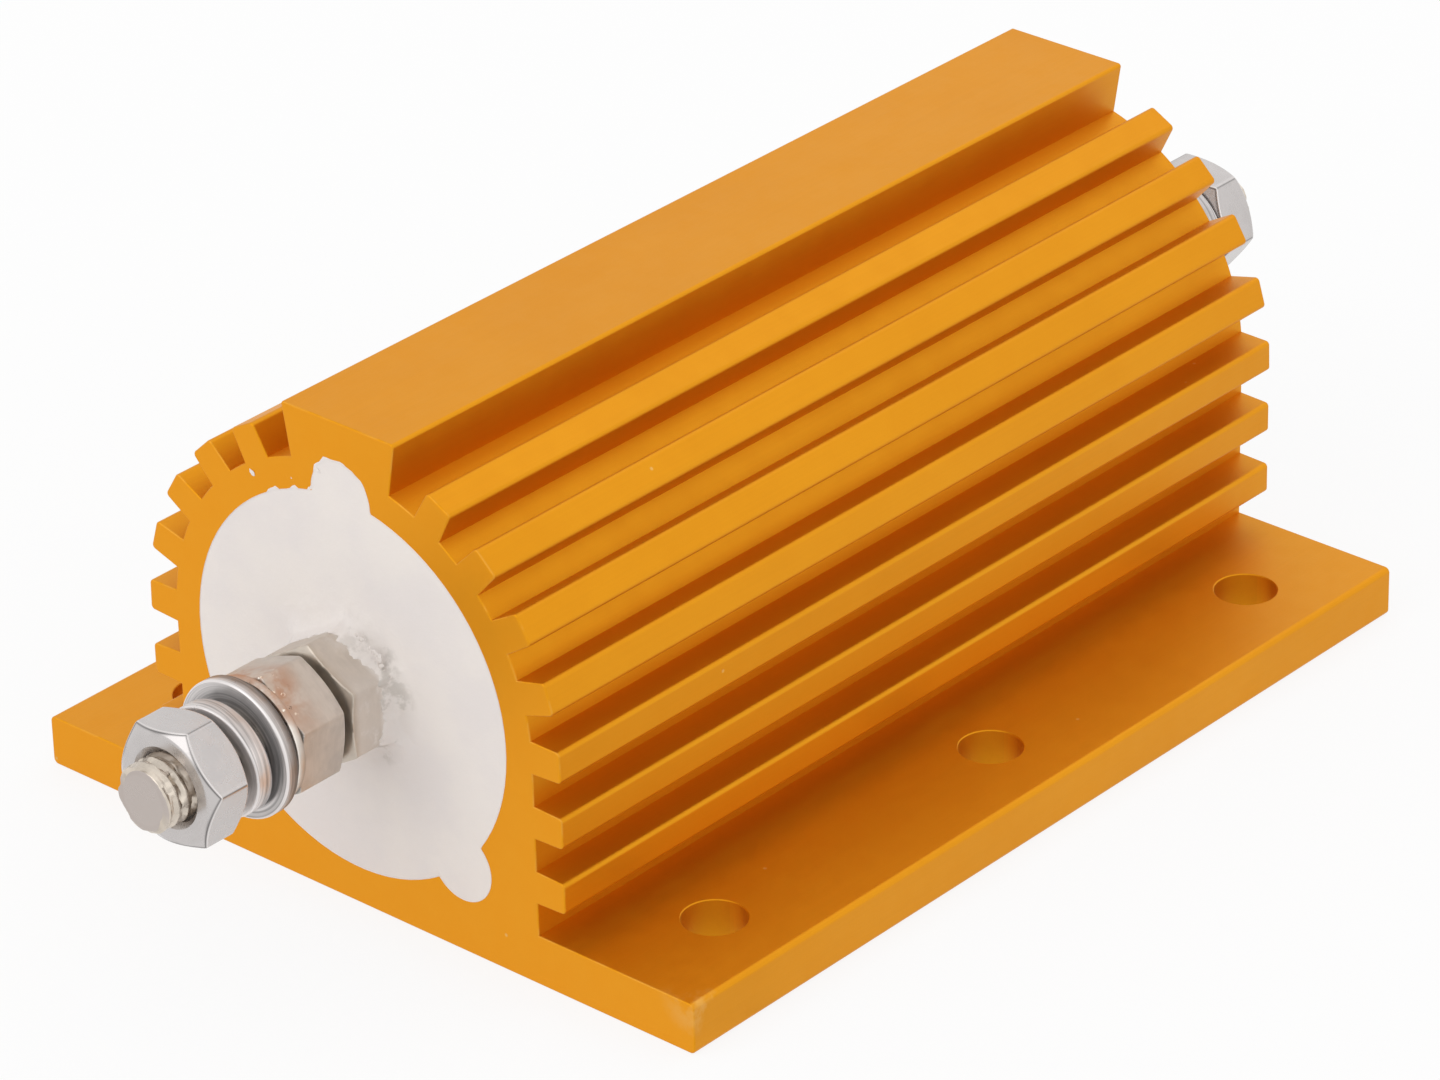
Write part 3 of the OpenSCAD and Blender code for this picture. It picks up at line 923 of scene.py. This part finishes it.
def thread_profile(pitch, crest_r):
    """One pitch of a thread of 60 degrees from root to root, as (station, radius)."""
    half = [(0.0, 0.0), (0.085, 0.03), (0.13, 0.12), (0.425, 0.93), (0.455, 0.99), (0.5, 1.0)]
    whole = half + [(1 - s, h) for s, h in reversed(half[1:-1])]
    return [(s * pitch, crest_r - THREAD_DEPTH * pitch * (1 - h)) for s, h in whole]


def thread_sheet(angles, sizes, low, high, shape):
    """Faces that follow a thread; shape turns an angle, station and radius to a point."""
    pitch = sizes.pitch
    profile = thread_profile(pitch, sizes.stud_d / 2)
    count, rows = len(angles), len(profile)
    first, last = math.floor(low / pitch) - 2, math.ceil(high / pitch) + 1
    points = [
        shape(angle, pitch * (turn + angle / TURN) + station, radius)
        for turn in range(first, last + 1)
        for angle in angles
        for station, radius in profile
    ]
    faces = []
    for step in range((last - first) * count - 1):
        for row in range(rows):
            above = step * rows + row
            below = above + 1 if row + 1 < rows else (step + count) * rows
            faces.append((above, above + rows, below + rows, below))
    return np.array(points), faces


def soft_least(a, b, k):
    """The smaller of two values, blended where they are closer than k."""
    share_b = np.clip(0.5 + 0.5 * (a - b) / k, 0, 1)
    return a * (1 - share_b) + b * share_b - k * share_b * (1 - share_b)


def corner_angles(turn, per_side):
    """Angles round a hexagon, closer together near its six corners."""
    steps = np.linspace(-1, 1, per_side, endpoint=False)
    near = np.sign(steps) * np.abs(steps) ** 1.5 * TURN / 12
    return np.sort(np.concatenate([turn + i * TURN / 6 + near for i in range(6)]) % TURN)


class Nut(Seat):
    """A hexagon nut on the faces and corners of a CAD nut, in its terminal's frame."""

    def __init__(self, kind, end):
        super().__init__(f"{kind}_nut_{end}", end)
        sizes = bpy.context.scene.resistor_terminals
        bare = kind == "outer"
        self.sizes, self.corner = sizes, self.turn()
        self.columns = corner_angles(self.corner, NUT_COLUMNS[kind])
        self.face = (sizes.nut_face_d if bare else sizes.inner_face_d) / 2
        self.slope = 1 / math.tan(sizes.nut_chamfer if bare else sizes.inner_chamfer)
        self.rim = sizes.stud_d / 2 + sizes.nut_sink
        self.collar, self.foot = sizes.collar_d / 2, self.high - sizes.collar_t

    def hexagon(self, angles):
        return hexagon_radius(angles, self.corner, self.sizes.nut_af)

    def rings(self, collar):
        """Rings of the outside from the inner mouth to the outer one."""
        low, high, face, soft = self.low, self.high, self.face, self.sizes.nut_round
        body = soft_least(self.hexagon(self.columns), self.radius, soft * 1.6)
        edge = 0.00005
        depths = np.concatenate([np.linspace(edge, 0.0008, 19), [0.0010, 0.0013]])
        top, ending = high, [(face - edge, high), (face - MARGIN, high), (self.rim, high)]
        if collar:
            top, edges = self.foot + (self.collar - face) / self.slope, (0.00004, 0.00006, 0.00020)
            ending = [(self.collar - edges[0], self.foot), (self.collar, self.foot + edge)]
            ending += [(self.collar, high - edges[2]), (self.collar - edges[1], high - edges[1])]
            ending += [(self.collar - edges[2], high), (self.rim, high)]
        chamfered = [(depth, low + depth) for depth in depths]
        chamfered += [(depth, top - depth) for depth in depths[::-1]]
        rings = [(self.rim, low), (face - MARGIN, low), (face - edge, low)]
        for depth, station in chamfered:
            if not collar or station < self.foot - NEAR:
                rings.append((soft_least(body, face + self.slope * depth, soft), station))
        return [circle(r, z, self.columns) for r, z in rings + ending]

    def chamfer_lines(self, points):
        """Painted light: 1 for a highlight along the chamfers' edges, down to -1 for dark
        reflections beside them and along the corners, 0 on the flats.
        """
        radius, angle = np.hypot(*points[:, :2].T), np.arctan2(points[:, 1], points[:, 0])
        depth = np.minimum(points[:, 2] - self.low, self.high - points[:, 2])
        past = (self.face + depth * self.slope - self.hexagon(angle)) / LINE_WIDTH
        corner = (angle - self.corner + TURN / 12) % (TURN / 6) - TURN / 12
        bright, beside = np.exp(-(past**2)), np.exp(-((past + 1.9) ** 2))
        ridge = np.exp(-((corner * radius / LINE_WIDTH) ** 2)) * (past > 1)
        lines = 0.85 * bright - np.maximum(beside, 0.7 * ridge)
        return np.where(radius > self.face - 10 * NEAR, lines, 0.0)

    def collar_lines(self, points):
        """Painted light: 1 for a highlight along the outer edge of the collar, and -0.7 for
        painted shade in the crease along its foot.
        """
        rim = np.hypot(*points[:, :2].T) > self.collar - 10 * NEAR
        shine = np.exp(-(((self.high - points[:, 2] - 0.00006) / 0.00012) ** 2))
        return rim * (shine - 0.7 * np.exp(-(((self.foot - points[:, 2]) / 0.00006) ** 2)))

    def bore(self, angle, station, radius):
        """A point of the threaded bore, with a countersink at both mouths."""
        z = min(max(station, self.low), self.high)
        least = self.sizes.stud_d / 2 - 0.5 * self.sizes.pitch
        mouth = self.rim - min(z - self.low, self.high - z)
        r = max(radius + self.sizes.thread_play, least, mouth)
        return (r * math.cos(angle), r * math.sin(angle), z)


def draw_light_lines(mesh, values):
    """Stores how far each vertex lies on a painted highlight line, or below zero on a painted dark
    line of shade or reflection.
    """
    mesh.attributes.new("edge_line", "FLOAT", "POINT").data.foreach_set("value", values)


def make_nut(kind, end, material):
    """A threaded hexagon nut in place of a CAD nut, with a collar on the backing nut."""
    nut, name = Nut(kind, end), f"nut_{kind}_{end}"
    rings = nut.rings(collar=kind == "backing")
    outside = np.concatenate(rings)
    inside, bands = thread_sheet(nut.columns, nut.sizes, nut.low, nut.high, nut.bore)
    faces = ring_faces(len(rings), len(nut.columns), joined=False)
    faces += [tuple(len(outside) + i for i in band) for band in bands]
    mesh = plain_mesh(name, on_terminal(np.concatenate([outside, inside]), end), faces)
    # Painted highlight and shade lines on the outer nut's chamfers and on the backing nut's
    # collar.
    if kind != "inner":
        lines = nut.chamfer_lines(outside) if kind == "outer" else nut.collar_lines(outside)
        draw_light_lines(mesh, np.concatenate([lines, np.zeros(len(inside))]))
    finish_piece(name, mesh, [f"{kind}_nut_{end}"], material, 34.0)


def make_stud(end, material):
    """A threaded terminal with its inner flange, in place of the CAD stud."""
    sizes = bpy.context.scene.resistor_terminals
    node = f"terminal_stud_{end}"
    cad = Seat(node, end)
    low, tip, head_r = cad.low, cad.high - 0.000001, cad.radius
    crest, pitch, seat = sizes.stud_d / 2, sizes.pitch, low + FLANGE
    head = [(seat - 3 * pitch, low, 0.0), (seat - 2 * pitch, low, head_r)]
    head += [(seat - pitch, seat, head_r), (seat, seat, crest), (SHANK, SHANK, crest)]
    head = np.array(head).T

    def worn(radius, spot):
        filled = 0.45 + 0.5 * roughness_at(spot, 0.0011, 5.0, 2)
        radius = max(radius, crest - 0.61 * pitch * min(1.0, max(0.15, filled)))
        return min(radius, crest - 0.00007 * (1 + roughness_at(spot, 0.0006, 8.0, 2)))

    def turned(angle, station, radius):
        cosine, sine = math.cos(angle), math.sin(angle)
        z, r = station, radius
        if SHANK < z < tip + pitch:
            r = worn(radius, (cosine * crest, sine * crest, station))
        if station > tip:
            z = tip
            r = min(r, crest - sizes.tip_chamfer) * max(0.0, 1 - (station - tip) / pitch)
        elif station >= SHANK:
            r = min(r, crest - sizes.tip_chamfer + (tip - z))
            r = max(r, crest - (z - SHANK)) if z < SHANK + pitch else r
        else:
            z, r = (np.interp(station, head[0], row) for row in head[1:])
        return (r * cosine, r * sine, z)

    reach = (seat - 4 * pitch, tip + 2 * pitch)
    points, faces = thread_sheet(even_angles(STUD_COLUMNS), sizes, *reach, turned)
    mesh = plain_mesh(f"stud_{end}", on_terminal(points, end), faces)
    piece = finish_piece(f"stud_{end}", mesh, [node], material, 40.0)
    for face in piece.data.polygons:
        if abs(face.normal.x) > 0.9999:
            face.use_smooth = False


def make_flat_washer(end, material):
    """A punched flat washer: rounded on the side where the punch entered."""
    sizes = bpy.context.scene.resistor_terminals
    node, name = f"flat_washer_{end}", f"washer_flat_{end}"
    cad = Seat(node, end)
    low, high, outer, hole = cad.low, cad.high, cad.radius, sizes.washer_hole_d / 2
    soft, sharp = sizes.washer_round, sizes.washer_round * 0.35
    corners = [(outer, high, soft), (hole, high, sharp)]
    corners += [(hole, low, sharp), (outer, low, sharp * 1.4)]
    profile = []
    for quarter, (r, z, radius) in enumerate(corners):
        centre_r = r - radius if r == outer else r + radius
        centre_z = z - radius if z == high else z + radius
        for a in np.radians(quarter * 90 + np.arange(6) * 18):
            profile.append((centre_r + radius * math.cos(a), centre_z + radius * math.sin(a)))
    angles = even_angles(WASHER_COLUMNS)
    mesh = rings_mesh(name, [on_terminal(circle(r, z, angles), end) for r, z in profile])
    r, z = np.array(profile).T
    # Painted highlight round the outer front edge, and painted shade round the outer back edge by
    # the collar.
    sides = (z > high - soft).astype(float) - (z < low + soft)
    draw_light_lines(mesh, np.repeat(0.9 * (r > outer - soft) * sides, len(angles)))
    finish_piece(name, mesh, [node], material, 40.0)


def make_spring_washer(end, tree, material):
    """A split spring washer that starts and climbs as the CAD washer does."""
    node, name = f"spring_washer_{end}", f"washer_spring_{end}"
    cad = Seat(node, end)
    hole, outer = bpy.context.scene.resistor_terminals.washer_hole_d / 2, cad.radius
    stations = cad.points[:, 2]
    start = np.angle(np.exp(1j * cad.angles[stations < cad.low + NEAR]).mean())
    thickness = np.ptp(stations[np.cos(cad.angles - start) > 0.9999])
    values = {"Middle radius": (outer + hole) / 2, "Width": outer - hole, "Thickness": thickness}
    values |= {"Rise": cad.high - cad.low - thickness, "Arc": 1 - SPRING_SPLIT}
    mesh = grown(name, tree, {**values, "Material": material})
    sections = mesh_points(mesh).reshape(-1, SPRING_SECTION, 3)
    # Painted highlight along the rim's outward edge, and painted shade along its edge towards the
    # flat washer.
    above = (sections[:, :, 2] - sections[:, :, 2].mean(axis=1, keepdims=True)) / thickness
    rim = np.hypot(sections[:, :, 0], sections[:, :, 1]) > outer - MARGIN
    draw_light_lines(mesh, (0.9 * rim * ((above > 0.4).astype(float) - (above < -0.4))).ravel())

    def seat(points):
        cosine, sine = math.cos(start), math.sin(start)
        turned = points[:, :2] @ np.array([[cosine, sine], [-sine, cosine]])
        return on_terminal(np.column_stack([turned, points[:, 2] + cad.low + thickness / 2]), end)

    finish_piece(name, moved_mesh(mesh, seat), [node], material, 40.0)


# ---- Geometry Nodes ----


def close_tree(graph, geometry, material):
    """Ends a Geometry Nodes tree in Realize Instances and Set Material."""
    interface = graph.tree.interface
    interface.new_socket("Geometry", in_out="OUTPUT", socket_type="NodeSocketGeometry")
    real = graph.out("GeometryNodeRealizeInstances", {"Geometry": geometry})
    dressed = graph.out("GeometryNodeSetMaterial", {"Geometry": real, "Material": material})
    graph.add("NodeGroupOutput", {0: dressed})
    return graph.tree


def grown(name, tree, values):
    """Runs a tree on an empty mesh with its inputs set by identifier, and keeps the plain mesh."""
    piece = new_object(name, bpy.data.meshes.new(name))
    modifier = piece.modifiers.new("Shape", "NODES")
    modifier.node_group = tree
    for item in tree.interface.items_tree:
        if item.in_out == "INPUT" and item.name in values:
            modifier[item.identifier] = values[item.name]
    mesh = applied(piece)
    bpy.data.objects.remove(piece)
    return mesh


def spiral(graph, steps, turns, radius, height, **more):
    """A curve that climbs at a constant radius."""
    inputs = {"Resolution": steps, "Rotations": turns, "Height": height}
    inputs |= {"Start Radius": radius, "End Radius": radius, **more}
    return graph.out("GeometryNodeCurveSpiral", inputs)


def swept(graph, curve, section, material):
    """Ends a tree with a section swept along a curve, with closed ends."""
    inputs = {"Curve": curve, "Profile Curve": section, "Fill Caps": True}
    return close_tree(graph, graph.out("GeometryNodeCurveToMesh", inputs), material)


def coil_tree(name):
    """A wire of round section on a spiral of constant radius."""
    sizes = {"Coil radius": 0.01, "Length": 0.06, "Turns": 16.0, "Wire radius": 0.0006}
    graph, given = new_tree("GeometryNodeTree", name, {**sizes, "Material": None})
    path = spiral(graph, 40, given["Turns"], given["Coil radius"], given["Length"])
    section = {"Resolution": 12, "Radius": given["Wire radius"]}
    section = graph.out("GeometryNodeCurvePrimitiveCircle", section)
    return swept(graph, path, section, given["Material"])


def spring_tree(name):
    """A split ring of rounded rectangular section that climbs from one end to the other."""
    sizes = {"Middle radius": 0.0041, "Width": 0.0018, "Thickness": 0.0016, "Rounding": 0.0002}
    inputs = {**sizes, "Rise": 0.0011, "Arc": 0.96, "Material": None}
    graph, given = new_tree("GeometryNodeTree", name, inputs)
    path = spiral(graph, 110, given["Arc"], given["Middle radius"], given["Rise"], Reverse=True)
    level = graph.out("GeometryNodeSetCurveNormal", {"Curve": path}, mode="Z_UP")
    section = {"Width": given["Width"], "Height": given["Thickness"]}
    section = graph.out("GeometryNodeCurvePrimitiveQuadrilateral", section)
    section = {"Curve": section, "Count": 5, "Radius": given["Rounding"]}
    section = graph.out("GeometryNodeFilletCurve", section, mode="POLY")
    return swept(graph, level, section, given["Material"])


def random_vector(graph, low, high, seed):
    """A random vector for each instance."""
    inputs = {"Min": low, "Max": high, "Seed": seed}
    return graph.out("FunctionNodeRandomValue", inputs, data_type="FLOAT_VECTOR")


def strewn(graph, given, which, seed):
    """Flat lumps at random places, turns and sizes along an arc round the terminal."""
    radius, start, sweep, spread, count = (given[f"{which} {label}"] for label in CRUMB_SIZES)
    arc = {"Resolution": 64, "Radius": radius, "Start Angle": start, "Sweep Angle": sweep}
    arc = graph.out("GeometryNodeCurveArc", arc, mode="RADIUS")
    spots = graph.out("GeometryNodeCurveToPoints", {"Curve": arc, "Count": count}, mode="COUNT")
    reach = graph.out("ShaderNodeCombineXYZ", {"X": spread, "Y": spread})
    shift = random_vector(graph, graph.vector("MULTIPLY", reach, (-1.0, -1.0, 0.0)), reach, seed)
    placed = graph.out("GeometryNodeSetPosition", {"Geometry": spots, "Offset": shift})

    ball = graph.out("GeometryNodeMeshIcoSphere", {"Radius": given["Size"], "Subdivisions": 3})
    place = graph.out("GeometryNodeInputPosition")
    bulge = graph.remap(graph.noise(place, 5000.0, 1.0), 0.3, 0.7, 0.75, 1.3, "LINEAR")
    swollen = graph.vector("SCALE", place)
    graph.feed(swollen.node.inputs["Scale"], bulge)
    lumpy = graph.out("GeometryNodeSetPosition", {"Geometry": ball, "Position": swollen})
    flat = graph.out("GeometryNodeTransform", {"Geometry": lumpy, "Scale": (1.5, 0.9, 0.4)})
    chance = graph.add("FunctionNodeRandomValue", {"Seed": seed}, data_type="FLOAT").outputs[1]
    inputs = {
        "Points": placed,
        "Instance": flat,
        "Rotation": random_vector(graph, (0.0, 0.0, 0.0), (0.0, 0.0, TURN), seed),
        "Scale": graph.math("MULTIPLY_ADD", graph.math("POWER", chance, 2.5), 1.5, 0.3),
    }
    return graph.out("GeometryNodeInstanceOnPoints", inputs)


def crumb_tree(name):
    """Crumbs of cement on the housing's end beside the bore, and on the cement beside the nut."""
    inputs = {"Size": 0.00017, "Seed": 4, "Material": None}
    for which, *values in (
        ("Rim", 0.0186, 0.10, 0.45, 0.0006, 3),
        ("Nut", 0.0061, -1.05, 0.75, 0.00022, 10),
    ):
        inputs |= {f"{which} {label}": value for label, value in zip(CRUMB_SIZES, values)}
    graph, given = new_tree("GeometryNodeTree", name, inputs)
    rim = strewn(graph, given, "Rim", given["Seed"])
    nut = strewn(graph, given, "Nut", graph.plus(given["Seed"], 7.0))
    nut = graph.out("GeometryNodeTransform", {"Geometry": nut, "Translation": (0, 0, 0.0009)})
    joined = graph.add("GeometryNodeJoinGeometry", {"Geometry": rim})
    graph.feed(joined.inputs[0], nut)
    return close_tree(graph, joined.outputs[0], given["Material"])


# ---- Operators of the pieces on the terminals ----


class RESISTOR_OT_studs(Operator):
    """Make the two threaded terminals"""

    bl_idname = "resistor.studs"
    bl_label = "Threaded terminals"

    def execute(self, context):
        sizes = context.scene.resistor_terminals
        material = material_once("Stud metal", threaded_metal, sizes)
        for end in ENDS:
            make_stud(end, material)
        return {"FINISHED"}


class RESISTOR_OT_nuts(Operator):
    """Make the six nuts with their threads: inner, backing and outer nut at both ends"""

    bl_idname = "resistor.nuts"
    bl_label = "Nuts"

    def execute(self, context):
        sizes = context.scene.resistor_terminals
        warm = tint(sizes.nickel, 0.95, 0.90, 0.84)
        sunk = plated("Nickel in cement", warm, 0.38, 0.04, 0.12, dust=0.0024)
        nickel = plated("Dull nickel", sizes.nickel, 0.36, 0.04, 0.12, stain=sizes.stain)
        bright = plated("Bright plate", sizes.bright, 0.25, 0.02, 0.05)
        for end in ENDS:
            make_nut("inner", end, sunk)
            make_nut("backing", end, nickel)
            make_nut("outer", end, bright)
        return {"FINISHED"}


class RESISTOR_OT_washers(Operator):
    """Make the flat washers and the split spring washers"""

    bl_idname = "resistor.washers"
    bl_label = "Washers"

    def execute(self, context):
        bright = context.scene.resistor_terminals.bright
        # Strong painted reflection streaks round the axis, and the washers' painted highlight and
        # shade lines.
        material = plated("Washer plate", bright, 0.31, 0.5, 0.08, metal=0.6)
        tree = spring_tree("Split spring washer")
        for end in ENDS:
            make_flat_washer(end, material)
            make_spring_washer(end, tree, material)
        return {"FINISHED"}


class RESISTOR_OT_crumbs(Operator):
    """Strew cement crumbs on the housing's ends round the bore"""

    bl_idname = "resistor.crumbs"
    bl_label = "Cement crumbs"

    def execute(self, context):
        material = material_once("White cement", dry_cement, context.scene.resistor_cement)
        tree = crumb_tree("Cement crumbs")
        for end, seed in zip(ENDS, (4, 9)):
            mesh = grown(f"crumbs_{end}", tree, {"Seed": seed, "Material": material})
            moved_mesh(mesh, lambda points, end=end: on_terminal(points, end))
            finish_piece(f"crumbs_{end}", mesh, [], material, 60.0)
        return {"FINISHED"}


class RESISTOR_OT_element(Operator):
    """Make the resistance wire, and finish the rod and its caps inside the housing"""

    bl_idname = "resistor.element"
    bl_label = "Resistance element"

    def execute(self, context):
        sizes = context.scene.resistor_element
        wire = plain_finish("Resistance wire", sizes.wire, 1.0, 0.42, 5000.0, 0.000006)
        low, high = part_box("resistance_wire")
        radius = sizes.wire_d / 2
        values = {
            "Coil radius": box_radius("resistance_wire") - radius,
            "Length": high[0] - low[0] - 2 * radius,
            "Turns": float(sizes.turns),
            "Wire radius": radius,
            "Material": wire,
        }
        mesh = grown("wound_wire", coil_tree("Wound wire"), values)

        def seat(points):
            along = points[:, 2] + low[0] + radius
            return np.column_stack([along, -points[:, 1], AXIS_HEIGHT + points[:, 0]])

        moved_mesh(mesh, seat)
        finish_piece("wound_wire", mesh, ["resistance_wire"], wire, 60.0)
        ceramic = plain_finish("Fired ceramic", sizes.ceramic, 0.0, 0.62, 2400.0, 0.00002)
        steel = plain_finish("Pressed steel", sizes.cap, 1.0, 0.36, 4200.0, 0.000008)
        dress(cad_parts["ceramic_core"], ceramic)
        for end in ENDS:
            dress(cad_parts[f"end_cap_{end}"], steel)
        return {"FINISHED"}


# ---- Stage ----


def seen_factor(graph):
    """1 for camera, glossy and transmission rays, 0 for the rest."""
    path = graph.add("ShaderNodeLightPath").outputs
    seen = graph.larger(path["Is Camera Ray"], path["Is Glossy Ray"])
    return graph.larger(seen, path["Is Transmission Ray"])


def white_floor():
    """Pale floor that keeps a soft shadow and is seen as nearly white."""
    material = bpy.data.materials.new("White floor")
    graph = Graph(empty_tree(material))
    matte = graph.out("ShaderNodeBsdfDiffuse", {"Color": (0.88, 0.88, 0.88)})
    glow = graph.out("ShaderNodeEmission", {"Color": (1.0, 1.0, 1.0), "Strength": 1.0})
    seen = graph.times(seen_factor(graph), 0.85)
    mixed = graph.out("ShaderNodeMixShader", {0: seen, 1: matte, 2: glow})
    graph.add("ShaderNodeOutputMaterial", {"Surface": mixed})
    return material


def soft_lamp(name, place, aim, size, power):
    """A square area lamp at a place, turned to an aim."""
    lamp = bpy.data.lights.new(name, "AREA")
    lamp.size, lamp.energy = size, power
    shape = new_object(name, lamp)
    shape.location = place
    shape.rotation_euler = (Vector(aim) - Vector(place)).to_track_quat("-Z", "Y").to_euler()


class RESISTOR_OT_stage(Operator):
    """Set the floor, world, lamps and camera"""

    bl_idname = "resistor.stage"
    bl_label = "Stage"

    def execute(self, context):
        sizes = context.scene.resistor_stage
        half = sizes.floor_size / 2
        mesh = bpy.data.meshes.new("floor")
        corners = [(-half, -half), (half, -half), (half, half), (-half, half)]
        mesh.from_pydata([(x, y, -FLOOR_DROP) for x, y in corners], [], [(0, 1, 2, 3)])
        mesh.materials.append(white_floor())
        new_object("floor", mesh)

        world = bpy.data.worlds.new("Light tent")
        graph = Graph(empty_tree(world))
        strength = graph.remap(seen_factor(graph), 0.0, 1.0, sizes.sky, 1.0, "LINEAR")
        sky = graph.out("ShaderNodeBackground", {"Color": (1.0, 1.0, 1.0), "Strength": strength})
        graph.add("ShaderNodeOutputWorld", {"Surface": sky})
        context.scene.world = world

        aim = (0.0, 0.0, AXIS_HEIGHT)
        soft_lamp("Key lamp", (0.80, -0.05, 0.95), aim, 1.1, sizes.key)
        soft_lamp("Side lamp", (-1.0, 0.25, 0.55), aim, 0.9, sizes.side)
        soft_lamp("Front lamp", (0.25, -1.30, 0.32), aim, 1.2, sizes.front)

        camera = bpy.data.cameras.new("Camera")
        camera.sensor_width, camera.lens = 36.0, sizes.lens
        camera.clip_start, camera.clip_end = 0.01, 20.0
        turn, rise = math.radians(sizes.azimuth), math.radians(sizes.elevation)
        flat = math.cos(rise)
        back = Vector((math.sin(turn) * flat, -math.cos(turn) * flat, math.sin(rise)))
        place = Matrix.Translation(Vector(LOOKED_AT) + back * sizes.distance)
        level = (-back).to_track_quat("-Z", "Y").to_matrix()
        rolled = level @ Matrix.Rotation(math.radians(sizes.roll), 3, "Z")
        shape = new_object("Camera", camera)
        shape.matrix_world = place @ rolled.to_4x4()
        context.scene.camera = shape
        context.scene.view_settings.view_transform = "Standard"
        return {"FINISHED"}


# ---- Panel and registration ----

OPERATORS = (
    RESISTOR_OT_housing,
    RESISTOR_OT_cement,
    RESISTOR_OT_crumbs,
    RESISTOR_OT_studs,
    RESISTOR_OT_nuts,
    RESISTOR_OT_washers,
    RESISTOR_OT_element,
    RESISTOR_OT_stage,
)


class RESISTOR_PT_panel(Panel):
    """Lists the operators that build the resistor"""

    bl_idname = "RESISTOR_PT_panel"
    bl_label = "Housed resistor"
    bl_space_type = "VIEW_3D"
    bl_region_type = "UI"
    bl_category = "Resistor"

    def draw(self, context):
        for operator in OPERATORS:
            self.layout.operator(operator.bl_idname)


CLASSES = (*SETTINGS.values(), *OPERATORS, RESISTOR_PT_panel)


def register():
    for kind in CLASSES:
        bpy.utils.register_class(kind)
    for name, kind in SETTINGS.items():
        setattr(bpy.types.Scene, name, PointerProperty(type=kind))


def unregister():
    for name in SETTINGS:
        delattr(bpy.types.Scene, name)
    for kind in reversed(CLASSES):
        bpy.utils.unregister_class(kind)


def main():
    register()
    for operator in OPERATORS:
        getattr(bpy.ops.resistor, operator.bl_idname.split(".")[1])()


if __name__ == "__main__":
    main()
